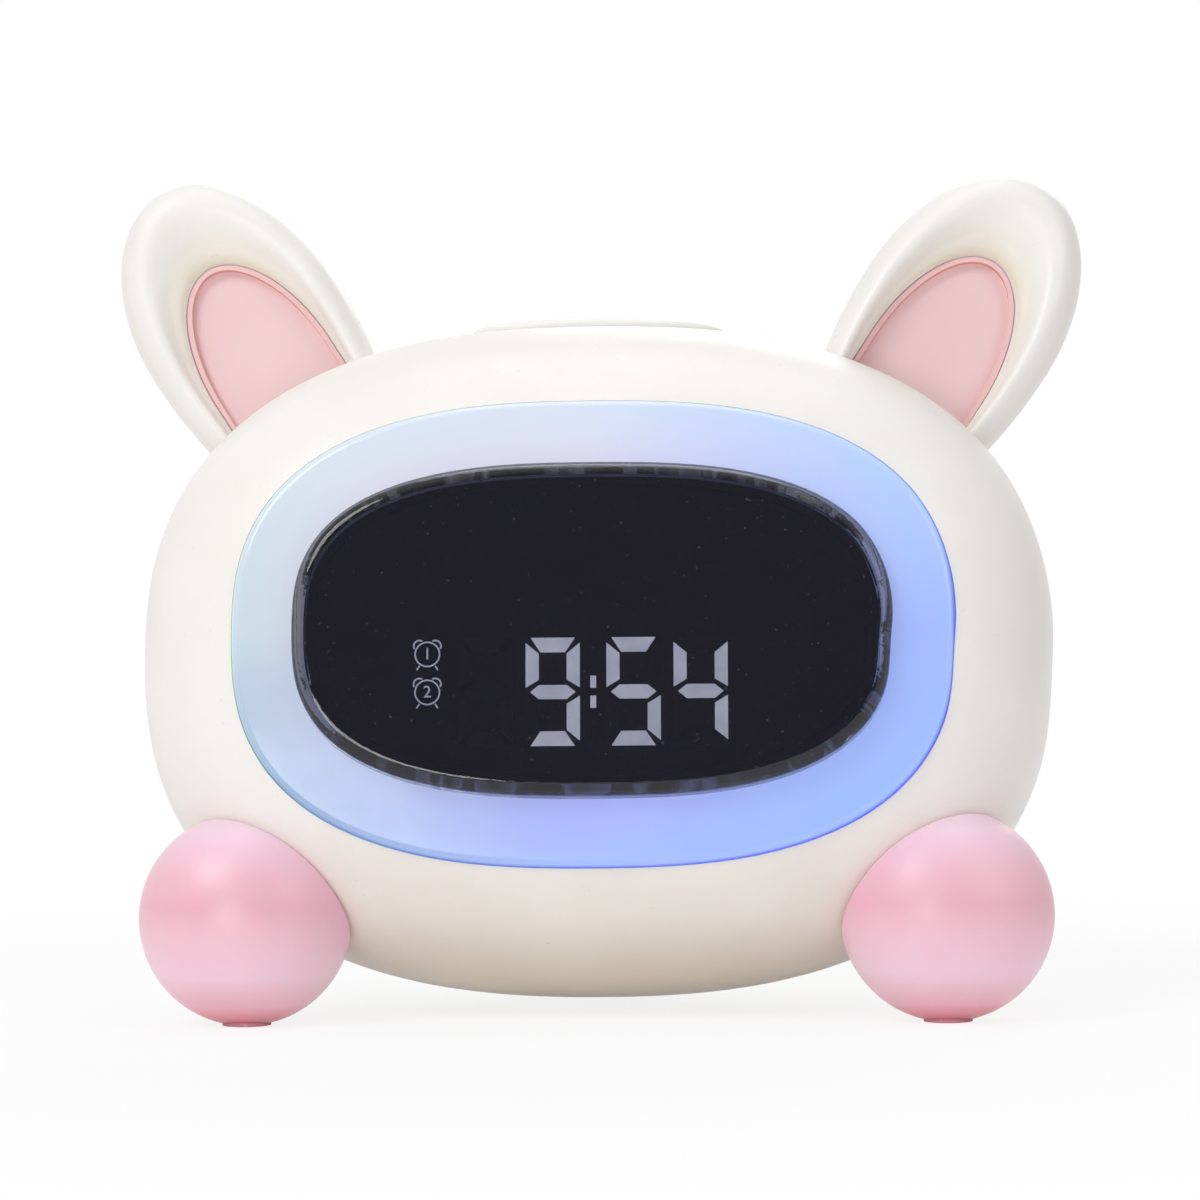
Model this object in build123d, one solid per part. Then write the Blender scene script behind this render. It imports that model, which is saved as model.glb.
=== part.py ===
from build123d import *
import math
import os

# A rabbit-eared bedside alarm clock with a glowing ring. Millimetres.
# The body is drawn upright about its own centre: +X to the right, -Y to the front, +Z up.
# Its halves meet on the plane Y = 0. Then the whole clock leans back and stands on Z = 0.

# Body
body_half_width = 72.3
body_half_height = 53.6
body_half_depth = 36.0
body_outline_power = 2.41
rear_power = 2.5
rear_cap_depth = 31.0
rear_cap_round = 2.4
shell_wall = 2.2
lean = 10.5
centre_height = 55.3

# Light ring in the front opening
ring_half_width = 56.0
ring_half_height = 36.6
ring_power = 2.6
ring_edge_depth = 29.5
ring_rise = 2.0
ring_edge_rise = 1.2
ring_edge_round = 1.3
ring_edge_thickness = 2.0
ring_gap = 0.15
seat_width = 3.0
seat_thickness = 1.5

# Display lens, a cap of smoked plastic
lens_half_width = 46.2
lens_half_height = 26.0
lens_power = 2.73
lens_front_depth = 36.0
lens_edge_round = 2.3
lens_wall = 2.0
lens_face_thickness = 2.2
lens_ledge_depth = 29.3
tape_thickness = 0.2

# Display behind the lens
display_gap = 0.3
display_wall = 1.2
display_face_depth = 32.8
digit_width = 8.3
digit_height = 16.7
digit_stroke = 2.0
digit_bar = 2.2
digit_corner_cut = 0.8
digit_inner_gap = 0.25
middle_tip = 0.65
middle_gap = 0.7
middle_slant = 1.2
digit_pitch = 10.3
colon_space = 2.1
colon_rise = 1.55
colon_width = 0.9
colon_height = 1.9
first_digit_x = -16.2
digit_centre_z = -9.8
segment_depth = 0.6
lit_letters = ["", "abcdfg", "acdfg", "bcfg"]

# Boards
board_thickness = 1.6
main_board_half_width = 59.5
main_board_half_height = 37.5
main_board_standoff = 3.5
led_count = 20
led_size = 3.4
led_height = 1.4
led_share = 0.62
reflector_wall = 1.0
key_board_width = 68.0
key_board_height = 25.0
key_board_z = -15.5
chip_places = [(-36.0, 4.0, 12.0, 12.0, 1.4), (-46.0, -10.0, 5.0, 7.0, 1.2)]
plug_rise = 3.0
speaker_plug = (-30.0, 15.0, 8.0, 5.0)
battery_plug = (-20.0, -8.0, 6.0, 5.0)
ribbon_plug = (-30.0, -26.0, 12.0, 4.0)
capacitor_places = [(-44.0, 18.0), (42.0, 0.0)]
capacitor_radius = 2.5
capacitor_rise = 6.0

# Snooze bar on top
snooze_half_length = 20.5
snooze_half_depth = 9.5
snooze_power = 2.5
snooze_rise = 1.2
snooze_travel = 0.9
snooze_flange = 1.4
snooze_flange_thickness = 1.2
snooze_gap = 0.3
snooze_edge_round = 0.8
snooze_reach = 18.0
stem_radius = 2.6
spring_spread = 14.0
spring_seat_radius = 2.5
spring_radius = 1.9
spring_wire = 0.3
spring_length = 5.4
spring_turns = 3.5
bracket_screw_spread = 27.0
bracket_screw_y = 6.0
bracket_margin = 3.5
bracket_depth = 16.0

# Keys on the back
key_radius = 3.9
key_rise = 1.3
key_travel = 0.8
key_gap = 0.3
key_flange = 1.0
key_flange_thickness = 1.0
key_edge_round = 0.6
key_z = -9.5
key_pitch = 15.0
key_names = ["time_key", "alarm_key", "up_key", "down_key"]

# Tact switches
switch_size = 6.0
switch_height = 3.5
plunger_radius = 1.7
plunger_spare = 0.2

# Charging socket
socket_half_width = 4.5
socket_height = 3.3
socket_depth = 7.4
socket_z = -23.0
socket_wall = 0.35
socket_tongue_share = 0.72
socket_tongue_thickness = 0.7

# Speaker
speaker_radius = 17.0
speaker_z = 14.5
speaker_depth = 15.0
speaker_rim = 2.2
speaker_rim_thickness = 1.5
speaker_sheet = 1.0
cone_lift = 3.0
cone_cap_rise = 0.4
gasket_thickness = 0.6
collar_wall = 1.4
collar_depth = 3.0
magnet_radius = 9.0
magnet_height = 6.0
grille_radius = 13.0
grille_slot = 1.6
grille_pitch = 3.6

# Battery cell on the back of the main board
cell_width = 46.0
cell_height = 30.0
cell_thickness = 7.0
cell_x = 10.0
cell_tape = 1.0
cell_tape_inset = 4.0

# Wires and the ribbon
wire_radius = 0.6
speaker_lead_run = 12.0
speaker_lead_bend = 5.0
battery_lead_bend = 1.5
ribbon_width = 10.0
ribbon_thickness = 0.3
ribbon_bow = 6.0
ribbon_bend = 5.0

# Ears
ear_tilt = 32.7
ear_offset = 18.5
ear_half_width = 16.8
ear_tip = 105.6
ear_tip_length = 26.3
ear_tip_ease = 0.38
ear_thickness = 14.0
ear_front_y = 0.3
ear_root_length = 38.5
ear_opening_root = 25.0
ear_opening_side = 6.0
ear_opening_tip = 15.4
ear_opening_depth = 4.2
ear_profile = [
    (5.5, 5.5, ear_thickness),
    (1.6, 1.6, ear_thickness - 2.0),
    (0.0, 0.0, ear_thickness / 2),
    (0.9, 1.2, 2.3),
    (3.4, 4.6, 0.0),
    (4.6, 8.5, 1.0),
    (5.2, 12.2, 2.6),
    (ear_opening_side, ear_opening_tip, ear_opening_depth),
]
tray_step = 1.8
tray_floor = 1.0
tray_wall = 0.8
tenon_half_width = 9.0
tenon_thickness = 8.0
tenon_round = 1.5
tenon_end = 49.0
tenon_reach = 68.0
tenon_pocket_wall = 1.6
tenon_pocket_floor = 2.0
tenon_pocket_end = 62.0

# Round front feet
foot_radius = 16.6
foot_half_depth = 13.2
foot_spread = 54.5
foot_drop = 38.8
foot_forward = 26.0
foot_wall = 2.2
foot_rim_round = 1.6
foot_pad_radius = 3.8
foot_pad_rise = 0.4
foot_pad_thickness = 1.0
foot_screw_length = 11.0

# Rear foot
rear_foot_width = 26.0
rear_foot_depth = 12.0
rear_foot_back = 20.0
rear_pad_inset = 1.6
rear_pad_thickness = 0.8
rear_peg_radius = 1.8
rear_peg_spread = 8.0
rear_peg_start = 2.8
rear_peg_end = 16.0

# Fasteners and clearances
screw_radius = 1.3
screw_head_radius = 2.4
screw_head_height = 1.6
pilot_gap = 0.05
pilot_floor = 1.0
boss_wall = 1.6
well_radius = 3.4
well_wall = 1.4
well_floor_y = 5.0
fit_gap = 0.1
overcut = 1.0
case_screw_reach = 9.0
bracket_screw_reach = 5.0
key_screw_reach = 4.5
ear_screw_reach = 8.0
case_screw_places = [(-63.5, 1.0), (63.5, 1.0), (-34.0, -40.0), (34.0, -40.0)]
main_screw_places = [(-55.5, -11.0), (-55.5, 11.0), (55.5, -11.0), (55.5, 11.0)]
key_screw_places = [(-30.5, -22.0), (30.5, -22.0)]

# Joint between the halves of the body
tongue_length = 1.6
tongue_share = 0.5
seam_width = 0.3
seam_depth = 0.5

# How finely the forms are drawn
oval_steps = 24
section_count = 11
thin_section_count = 3

# Worked out from the sizes above
cap_inside_y = rear_cap_depth - shell_wall
seat_front_y = ring_edge_thickness - ring_edge_depth
seat_back_y = seat_front_y + seat_thickness
main_board_y = seat_back_y + main_board_standoff
main_board_back_y = main_board_y + board_thickness
boss_radius = screw_radius + boss_wall
plunger_height = snooze_travel + plunger_spare
key_stem = key_travel + key_gap
key_flange_y = cap_inside_y - key_gap - key_flange_thickness
key_plunger_y = key_flange_y - key_stem
key_board_y = key_plunger_y - plunger_height - switch_height
snooze_flange_inset = shell_wall + snooze_gap
snooze_inside_inset = snooze_flange_inset + snooze_flange_thickness
speaker_rim_y = cap_inside_y - gasket_thickness
speaker_back_y = cap_inside_y - speaker_depth + magnet_height
tray_back_y = ear_front_y + ear_opening_depth + tray_step + tray_floor


def flow_power(reach, share):
    """Power of the side curve that narrows to a share of its width at a share of its depth."""
    low = 1.1
    high = 20.0
    for _ in range(60):
        middle = (low + high) / 2
        if (1 - reach ** middle) ** (1 / middle) < share:
            low = middle
        else:
            high = middle
    return middle


ring_reach = ring_edge_depth / body_half_depth
front_width_power = flow_power(ring_reach, ring_half_width / body_half_width)
front_height_power = flow_power(ring_reach, ring_half_height / body_half_height)


def body_section(inset, y):
    """Half width, half height and power of the body's outline at a depth."""
    reach = min(abs(y) / (body_half_depth - inset), 0.999)
    width_power = front_width_power if y < 0 else rear_power
    height_power = front_height_power if y < 0 else rear_power
    half_width = (body_half_width - inset) * (1 - reach ** width_power) ** (1 / width_power)
    half_height = (body_half_height - inset) * (1 - reach ** height_power) ** (1 / height_power)
    blend = (min(y, 0) / ring_edge_depth) ** 2
    power = body_outline_power + (ring_power - body_outline_power) * blend
    return half_width, half_height, power


def skin_distance(direction, inset):
    """Distance from the body's centre to its skin along a direction."""
    low = 0.0
    high = 2 * body_half_width
    for _ in range(50):
        middle = (low + high) / 2
        point = direction * middle
        half_width, half_height, power = body_section(inset, point.Y)
        inside = abs(point.Y) < body_half_depth - inset
        inside = inside and abs(point.X / half_width) ** power + abs(point.Z / half_height) ** power < 1
        if inside:
            low = middle
        else:
            high = middle
    return middle


def body_top(inset, x):
    """Height of the body's skin above its centre on the parting plane."""
    share = abs(x / (body_half_width - inset)) ** body_outline_power
    return (body_half_height - inset) * (1 - share) ** (1 / body_outline_power)


def oval_points(half_width, half_height, power):
    """Points of a superellipse, evenly spread by angle."""
    points = []
    for step in range(oval_steps):
        across = math.cos(2 * math.pi * step / oval_steps)
        up = math.sin(2 * math.pi * step / oval_steps)
        x = half_width * math.copysign(abs(across) ** (2 / power), across)
        z = half_height * math.copysign(abs(up) ** (2 / power), up)
        points.append((x, z))
    return points


def oval_wire(half_width, half_height, power, y):
    """Superellipse across the body at a depth."""
    points = [(x, y, z) for x, z in oval_points(half_width, half_height, power)]
    return Wire([Spline(*points, periodic=True)])


def oval_slab(half_width, half_height, power, y_start, y_end):
    """Slab with a superellipse outline between two depths."""
    outline = Face(oval_wire(half_width, half_height, power, y_start))
    return extrude(outline, amount=y_end - y_start, dir=(0, 1, 0))


def body_form(inset, y_front, y_rear, count=section_count):
    """The body's form with its skin moved in, cut off square at the front and rear."""
    middle = (y_front + y_rear) / 2
    half = (y_rear - y_front) / 2
    wires = []
    for step in range(count):
        y = middle - half * math.cos(math.pi * step / (count - 1))
        wires.append(oval_wire(*body_section(inset, y), y))
    return Part() + Solid.make_loft(wires)


def rod(radius, x, z, y_start, y_end):
    """Round rod that runs along the depth."""
    start = Plane(origin=(x, y_start, z), x_dir=(1, 0, 0), z_dir=(0, 1, 0))
    return extrude(start * Circle(radius), amount=y_end - y_start)


def post(radius, x, y, z_start, z_end):
    """Round post that runs up."""
    return extrude(Plane.XY.offset(z_start) * Pos(x, y) * Circle(radius), amount=z_end - z_start)


def block(width, depth, height, x, y, z):
    """Block given by its size and centre."""
    return Pos(x, y, z) * Box(width, depth, height)


def ring_outline(share, grow):
    """Half width, half height and power between the ring's edge (0) and the lens (1)."""
    half_width = ring_half_width + (lens_half_width - ring_half_width) * share + grow
    half_height = ring_half_height + (lens_half_height - ring_half_height) * share + grow
    power = ring_power + (lens_power - ring_power) * share
    return half_width, half_height, power


def lens_outline(grow):
    """Half width, half height and power of an outline set off from the lens."""
    return lens_half_width + grow, lens_half_height + grow, lens_power


def screw_along_depth(x, z, head_y, tip_y):
    """Pan-head screw with its head towards the rear."""
    head = rod(screw_head_radius, x, z, head_y, head_y + screw_head_height)
    return rod(screw_radius, x, z, tip_y, head_y) + head


outer_form = body_form(0, -ring_edge_depth - overcut, rear_cap_depth)
cavity_form = body_form(shell_wall, seat_back_y, cap_inside_y)


def snooze_prism(grow, z_start, z_end):
    """Upright prism with the snooze bar's outline."""
    points = []
    for x, y in oval_points(snooze_half_length + grow, snooze_half_depth + grow, snooze_power):
        points.append((x, y, z_start))
    outline = Face(Wire([Spline(*points, periodic=True)]))
    return extrude(outline, amount=z_end - z_start, dir=(0, 0, 1))


lean_back = Pos(0, 0, centre_height) * Rot(-lean, 0, 0)
upright = lean_back.inverse()


def foot_centre(side):
    """Centre of a front foot, in the body's own frame."""
    standing = Pos(side * foot_spread, -foot_forward, centre_height - foot_drop)
    return (upright * standing).position


def rod_from_centre(radius, direction, start, end):
    """Round rod on a line through the body's centre."""
    plane = Plane(origin=direction * start, z_dir=direction)
    return extrude(plane * Circle(radius), amount=end - start)


def foot_screw_seat(direction):
    """Distance from the body's centre to the seat of a foot screw's head."""
    return skin_distance(direction, shell_wall) - boss_wall


def ear_place(side):
    """Where an upright ear goes on the body."""
    return Rot(0, side * ear_tilt, 0) * Pos(side * ear_offset, 0, 0)


def ear_tip_arc(side_inset, tip_inset):
    """Long elliptical tip of an ear, moved in from its widest."""
    length = ear_tip_length * (1 - tip_inset / ear_tip_length * ear_tip_ease)
    shoulder = ear_tip - tip_inset - length
    half_width = ear_half_width - side_inset
    return EllipticalCenterArc((0, shoulder), half_width, length, 0, arc_size=180)


def ear_wire(side_inset, tip_inset, y):
    """Outline of an ear moved in from its widest, narrower again towards its root."""
    tip = ear_tip_arc(side_inset, tip_inset)
    shoulder = (tip @ 0).Y
    half_width = ear_half_width - side_inset
    root_length = ear_root_length - side_inset
    root = EllipticalCenterArc((0, shoulder), half_width, root_length, 180, arc_size=180)
    return Plane.XZ.offset(-y) * Wire([tip, root])


def ear_opening(grow, y_start, y_end):
    """Slab of an ear's opening between two depths, straight-sided down to the body."""
    tip = ear_tip_arc(ear_opening_side - grow, ear_opening_tip - grow)
    half_width = (tip @ 0).X
    root = EllipticalCenterArc((0, ear_opening_root), half_width, half_width, 180, arc_size=180)
    left = Line(tip @ 1, root @ 0)
    right = Line(root @ 1, tip @ 0)
    outline = Face(Plane.XZ.offset(-y_start) * Wire([tip, left, root, right]))
    return extrude(outline, amount=y_end - y_start, dir=(0, 1, 0))


def tenon_block(grow, v_start, v_end):
    """Tongue of an ear that plugs into the rear shell."""
    half_width = tenon_half_width + grow
    thickness = tenon_thickness + 2 * grow
    y = ear_front_y + ear_thickness / 2
    outline = Plane.XY.offset(v_start) * Pos(0, y) * RectangleRounded(2 * half_width, thickness, tenon_round)
    return extrude(outline, amount=v_end - v_start)


def ear_screw_y():
    """Depth of an ear screw."""
    return ear_front_y + ear_thickness / 2


def bracket_top():
    """Height of the plate under the snooze bar."""
    return spring_seat() - spring_length


def spring_seat():
    """Height of the flat seats of the snooze springs under the bar."""
    return body_top(snooze_inside_inset, spring_spread + spring_seat_radius) - pilot_gap


def snooze_plunger_top():
    """Height at which the snooze bar's stem meets its switch."""
    return bracket_top() + switch_height + plunger_height


def front_shell():
    """Front half: ring seat, board bosses, screw bosses, the rabbet and the seam's groove."""
    shell = split(outer_form, bisect_by=Plane.XZ, keep=Keep.TOP)
    shell -= cavity_form
    shell -= oval_slab(*ring_outline(0, 0), -body_half_depth, seat_front_y)
    shell -= oval_slab(*ring_outline(0, -seat_width), -body_half_depth, 0)
    shell -= body_form(shell_wall * tongue_share, -tongue_length - fit_gap, fit_gap, thin_section_count)
    around = 2 * (body_half_width + overcut)
    seam = block(around, seam_width, around, 0, -seam_width / 2, 0)
    shell -= seam - body_form(seam_depth, -tongue_length, fit_gap, thin_section_count)
    for x, z in main_screw_places:
        shell += rod(boss_radius, x, z, seat_back_y - seat_thickness / 2, main_board_y)
    for x, z in case_screw_places:
        shell += rod(boss_radius, x, z, seat_back_y, -tongue_length - 2 * fit_gap) & cavity_form
    for side in (-1, 1):
        direction = foot_centre(side).normalized()
        seat = foot_screw_seat(direction)
        pad = rod_from_centre(screw_head_radius + boss_wall / 2, direction, seat, body_half_width)
        shell += pad & split(outer_form, bisect_by=Plane.XZ, keep=Keep.TOP)
        shell -= rod_from_centre(screw_radius + fit_gap, direction, seat - overcut, body_half_width)
    for x, z in main_screw_places:
        shell -= rod(screw_radius + pilot_gap, x, z, seat_front_y + pilot_floor, main_board_y)
    for x, z in case_screw_places:
        shell -= rod(screw_radius + pilot_gap, x, z, -case_screw_reach, 0)
    shell -= snooze_prism(snooze_gap, body_half_height / 2, 2 * body_half_height)
    return shell


def grille_slots():
    """Upright rounded slots that fill a circle."""
    slots = Part()
    count = int(grille_radius / grille_pitch)
    for step in range(-count, count + 1):
        x = step * grille_pitch
        length = 2 * math.sqrt(grille_radius ** 2 - x ** 2)
        outline = Plane.XZ.offset(overcut - cap_inside_y) * Pos(x, speaker_z) * Rot(0, 0, 90)
        slots += extrude(outline * SlotOverall(length, grille_slot), amount=-body_half_depth)
    return slots


def socket_outline(grow):
    """Rounded outline of the charging socket, across the body."""
    height = socket_height + 2 * grow
    width = 2 * (socket_half_width + grow)
    return SlotOverall(width, height)


def along_depth(outline, x, z, y_start, y_end):
    """Flat outline placed across the body and drawn out towards the rear."""
    plane = Plane(origin=(x, y_start, z), x_dir=(1, 0, 0), z_dir=(0, -1, 0))
    return extrude(plane * outline, amount=y_start - y_end)


def rear_shell():
    """Rear half: tongue, grille, key holes, screw wells, ear sockets and posts."""
    shell = split(outer_form, bisect_by=Plane.XZ, keep=Keep.BOTTOM)
    cap_edges = shell.faces().sort_by(Axis.Y)[-1].edges()
    shell = fillet(cap_edges, rear_cap_round)
    solid_half = shell
    shell -= cavity_form
    tongue = body_form(shell_wall * tongue_share + fit_gap, -tongue_length, fit_gap, thin_section_count)
    shell += tongue - cavity_form
    collar_radius = speaker_radius + fit_gap
    collar = rod(collar_radius + collar_wall, 0, speaker_z, cap_inside_y - collar_depth, cap_inside_y)
    shell += collar - rod(collar_radius, 0, speaker_z, 0, cap_inside_y)
    for x, z in case_screw_places:
        shell += rod(well_radius + well_wall, x, z, -tongue_length, cap_inside_y) & cavity_form
    for x, z in key_screw_places:
        shell += rod(boss_radius, x, z, key_board_y, cap_inside_y)
    for side in (-1, 1):
        x = side * bracket_screw_spread
        shell += post(boss_radius, x, bracket_screw_y, bracket_top(), body_half_height) & cavity_form
        pocket = tenon_block(tenon_pocket_wall, tenon_end - tenon_pocket_floor, tenon_pocket_end)
        shell += (ear_place(side) * pocket) & solid_half
    for side in (-1, 1):
        shell -= ear_place(side) * tenon_block(fit_gap, tenon_end, ear_tip)
        hole_start = tenon_end - tenon_pocket_floor - overcut
        shell -= ear_place(side) * post(screw_radius + fit_gap, 0, ear_screw_y(), hole_start, tenon_end)
        x = side * bracket_screw_spread
        shell -= post(screw_radius + pilot_gap, x, bracket_screw_y, 0, bracket_top() + bracket_screw_reach)
        shell -= upright * rear_peg(side, fit_gap)
    for x, z in case_screw_places:
        shell -= rod(well_radius, x, z, well_floor_y, body_half_depth)
        shell -= rod(screw_radius + fit_gap, x, z, -tongue_length - overcut, well_floor_y)
    for x, z in key_screw_places:
        shell -= rod(screw_radius + pilot_gap, x, z, 0, key_board_y + key_screw_reach)
    for index in range(len(key_names)):
        shell -= rod(key_radius + key_gap, key_x(index), key_z, cap_inside_y - overcut, body_half_depth)
    shell -= grille_slots()
    shell -= along_depth(socket_outline(fit_gap), 0, socket_z, cap_inside_y - overcut, body_half_depth)
    shell -= snooze_prism(snooze_gap, body_half_height / 2, 2 * body_half_height)
    return shell


def light_ring():
    """Milky ring: a rounded outer edge, a face that rises to the lens and a ledge for it."""
    brow_y = -ring_edge_depth - ring_edge_rise
    ring = oval_slab(*ring_outline(0, -ring_gap), brow_y, seat_front_y)
    brow = oval_wire(*ring_outline(0, -ring_gap), brow_y)
    crest = oval_wire(*ring_outline(1, 0), -ring_edge_depth - ring_rise)
    ring += Solid.make_loft([brow, crest], ruled=True)
    outer_edge = ring.edges().filter_by(lambda edge: abs(edge.center().Y - brow_y) < fit_gap)
    ring = fillet(outer_edge, ring_edge_round)
    ring -= oval_slab(*lens_outline(-lens_wall), -body_half_depth, 0)
    ring -= oval_slab(*lens_outline(fit_gap), -body_half_depth, -lens_ledge_depth)
    return ring


def display_lens():
    """Smoked cap with a rounded front edge, open at the back."""
    back_y = -lens_ledge_depth - tape_thickness
    lens = oval_slab(*lens_outline(0), -lens_front_depth, back_y)
    front_edges = lens.faces().sort_by(Axis.Y)[0].edges()
    lens = fillet(front_edges, lens_edge_round)
    lens -= oval_slab(*lens_outline(-lens_wall), lens_face_thickness - lens_front_depth, back_y)
    return lens


def lens_tape():
    """Adhesive gasket between the lens and the ring's ledge."""
    front_y = -lens_ledge_depth - tape_thickness
    tape = oval_slab(*lens_outline(-display_gap), front_y, -lens_ledge_depth)
    return tape - oval_slab(*lens_outline(display_gap - lens_wall), front_y, -lens_ledge_depth)


def display_frame():
    """Black tube that keeps the ring's light out of the display."""
    grow = -lens_wall - display_gap
    front_y = -display_face_depth - tape_thickness
    frame = oval_slab(*lens_outline(grow), front_y, main_board_y)
    return frame - oval_slab(*lens_outline(grow - display_wall), front_y, main_board_y)


def segment_outlines():
    """The seven strokes of a digit, mitred where they meet, keyed by letter."""
    half_width = digit_width / 2
    half_height = digit_height / 2
    inside = half_width - digit_stroke
    under_bar = half_height - digit_bar
    top = Polygon(
        (-half_width + digit_corner_cut, half_height),
        (half_width - digit_corner_cut, half_height),
        (inside - digit_inner_gap, under_bar),
        (-inside + digit_inner_gap, under_bar),
        align=None,
    )
    side = Polygon(
        (half_width, half_height - digit_corner_cut),
        (half_width, middle_gap),
        (inside, middle_gap + middle_slant),
        (inside, under_bar - digit_inner_gap),
        align=None,
    )
    middle = Polygon(
        (half_width - middle_tip, 0),
        (inside, digit_bar / 2),
        (-inside, digit_bar / 2),
        (-half_width + middle_tip, 0),
        (-inside, -digit_bar / 2),
        (inside, -digit_bar / 2),
        align=None,
    )
    return {
        "a": top,
        "b": side,
        "c": mirror(side, about=Plane.XZ),
        "d": mirror(top, about=Plane.XZ),
        "e": mirror(mirror(side, about=Plane.XZ), about=Plane.YZ),
        "f": mirror(side, about=Plane.YZ),
        "g": middle,
    }


def digit_x(index):
    """Centre of a digit, with room for the colon after the second."""
    return first_digit_x + index * digit_pitch + (colon_space if index > 1 else 0)


def segments(lit):
    """Strokes of the digits that show the time, or the dark ones."""
    pieces = []
    for index, letters in enumerate(lit_letters):
        for letter, outline in segment_outlines().items():
            if (letter in letters) == lit:
                pieces.append(display_window(outline, digit_x(index), digit_centre_z))
    if lit:
        colon_x = (digit_x(1) + digit_x(2)) / 2
        for z in (colon_rise, -colon_rise):
            dot = Rectangle(colon_width, colon_height)
            pieces.append(display_window(dot, colon_x, digit_centre_z + z))
    return pieces


def display_window(outline, x, z):
    """Light window let into the display's face."""
    return along_depth(outline, x, z, -display_face_depth, segment_depth - display_face_depth)


def display_module():
    """Black digit block, with a pocket for each stroke."""
    grow = -lens_wall - display_gap - display_wall - fit_gap
    module = oval_slab(*lens_outline(grow), -display_face_depth, main_board_y)
    for window in segments(True) + segments(False):
        module -= window
    return module


def led_places():
    """Places of the ring's lamps on the main board, along the middle of the ring."""
    half_width, half_height, power = ring_outline(led_share, 0)
    places = []
    for step in range(led_count):
        turn = 2 * math.pi * (step + 0.5) / led_count
        x = half_width * math.copysign(abs(math.cos(turn)) ** (2 / power), math.cos(turn))
        z = half_height * math.copysign(abs(math.sin(turn)) ** (2 / power), math.sin(turn))
        places.append((x, z))
    return places


def ring_leds():
    """Small lamps in a loop on the main board."""
    y = main_board_y - led_height / 2
    return [block(led_size, led_height, led_size, x, y, z) for x, z in led_places()]


def light_reflector():
    """White trough that throws the lamps' light into the ring."""
    front_y = seat_front_y + fit_gap
    floor_y = main_board_y - reflector_wall
    inner_grow = display_gap / 2 - lens_wall
    trough = oval_slab(*ring_outline(0, -seat_width - display_gap), front_y, main_board_y)
    trough -= oval_slab(*lens_outline(inner_grow), front_y, main_board_y)
    groove = oval_slab(*ring_outline(0, -seat_width - display_gap - reflector_wall), front_y, floor_y)
    groove -= oval_slab(*lens_outline(inner_grow + reflector_wall), front_y, floor_y)
    trough -= groove
    opening = led_size + 2 * display_gap
    for x, z in led_places():
        trough -= block(opening, 4 * reflector_wall, opening, x, main_board_y, z)
    return trough


def main_board():
    """Board behind the display and the ring."""
    outline = (main_board_half_width, main_board_half_height, body_outline_power)
    board = oval_slab(*outline, main_board_y, main_board_back_y)
    for x, z in main_screw_places:
        board -= rod(screw_radius + fit_gap, x, z, main_board_y, main_board_back_y)
    return board


def board_parts():
    """Chips, plugs and capacitors on the back of the main board."""
    parts = []
    plugs = [(*plug, plug_rise) for plug in (speaker_plug, battery_plug, ribbon_plug)]
    for x, z, width, height, rise in chip_places + plugs:
        parts.append(block(width, rise, height, x, main_board_back_y + rise / 2, z))
    for x, z in capacitor_places:
        top_y = main_board_back_y + capacitor_rise
        parts.append(rod(capacitor_radius, x, z, main_board_back_y, top_y))
    return parts


def main_screws():
    """Screws that hold the main board to the front shell."""
    tip_y = seat_front_y + pilot_floor + pilot_gap
    return [screw_along_depth(x, z, main_board_back_y, tip_y) for x, z in main_screw_places]


def case_screws():
    """Screws in the rear wells that hold the halves together."""
    tip_y = pilot_gap - case_screw_reach
    return [screw_along_depth(x, z, well_floor_y, tip_y) for x, z in case_screw_places]


def snooze_button():
    """Oval bar that follows the body's top, with a flange, a stem and spring seats."""
    inside = body_form(snooze_inside_inset, -snooze_reach, snooze_reach)
    cap = snooze_prism(0, body_half_height / 2, 2 * body_half_height)
    cap &= Pos(0, 0, snooze_rise) * body_form(0, -snooze_reach, snooze_reach)
    cap = fillet(cap.faces().sort_by(Axis.Z)[-1].edges(), snooze_edge_round)
    flange = snooze_prism(snooze_flange, body_half_height / 2, 2 * body_half_height)
    flange &= body_form(snooze_flange_inset, -snooze_reach, snooze_reach)
    bar = cap + flange - inside
    crown = body_half_height - snooze_inside_inset
    bar += post(stem_radius, 0, 0, snooze_plunger_top(), crown + snooze_flange_thickness / 2)
    for side in (-1, 1):
        x = side * spring_spread
        bar += post(spring_seat_radius, x, 0, spring_seat(), crown + snooze_flange_thickness / 2)
    return bar


def snooze_springs():
    """Two coil springs that lift the bar."""
    springs = []
    for side in (-1, 1):
        height = spring_length - 2 * (spring_wire + pilot_gap)
        base = (side * spring_spread, 0, bracket_top() + spring_wire + pilot_gap)
        coil = Helix(height / spring_turns, height, spring_radius, center=base)
        section = Plane(origin=coil @ 0, z_dir=coil % 0) * Circle(spring_wire)
        springs.append(sweep(section, path=coil, is_frenet=True))
    return springs


def snooze_bracket():
    """Plate under the bar, screwed to two posts of the rear shell."""
    width = 2 * (bracket_screw_spread + bracket_margin)
    y = bracket_screw_y + bracket_margin - bracket_depth / 2
    plate = block(width, bracket_depth, board_thickness, 0, y, bracket_top() - board_thickness / 2)
    plate = fillet(plate.edges().filter_by(Axis.Z), bracket_margin)
    for side in (-1, 1):
        x = side * bracket_screw_spread
        plate -= post(screw_radius + fit_gap, x, bracket_screw_y, 0, body_half_height)
    return plate


def bracket_screws():
    """Screws from below into the two posts."""
    screws = []
    head_z = bracket_top() - board_thickness
    for side in (-1, 1):
        x = side * bracket_screw_spread
        tip_z = bracket_top() + bracket_screw_reach - pilot_gap
        shank = post(screw_radius, x, bracket_screw_y, head_z, tip_z)
        screws.append(shank + post(screw_head_radius, x, bracket_screw_y, head_z - screw_head_height, head_z))
    return screws


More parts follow.
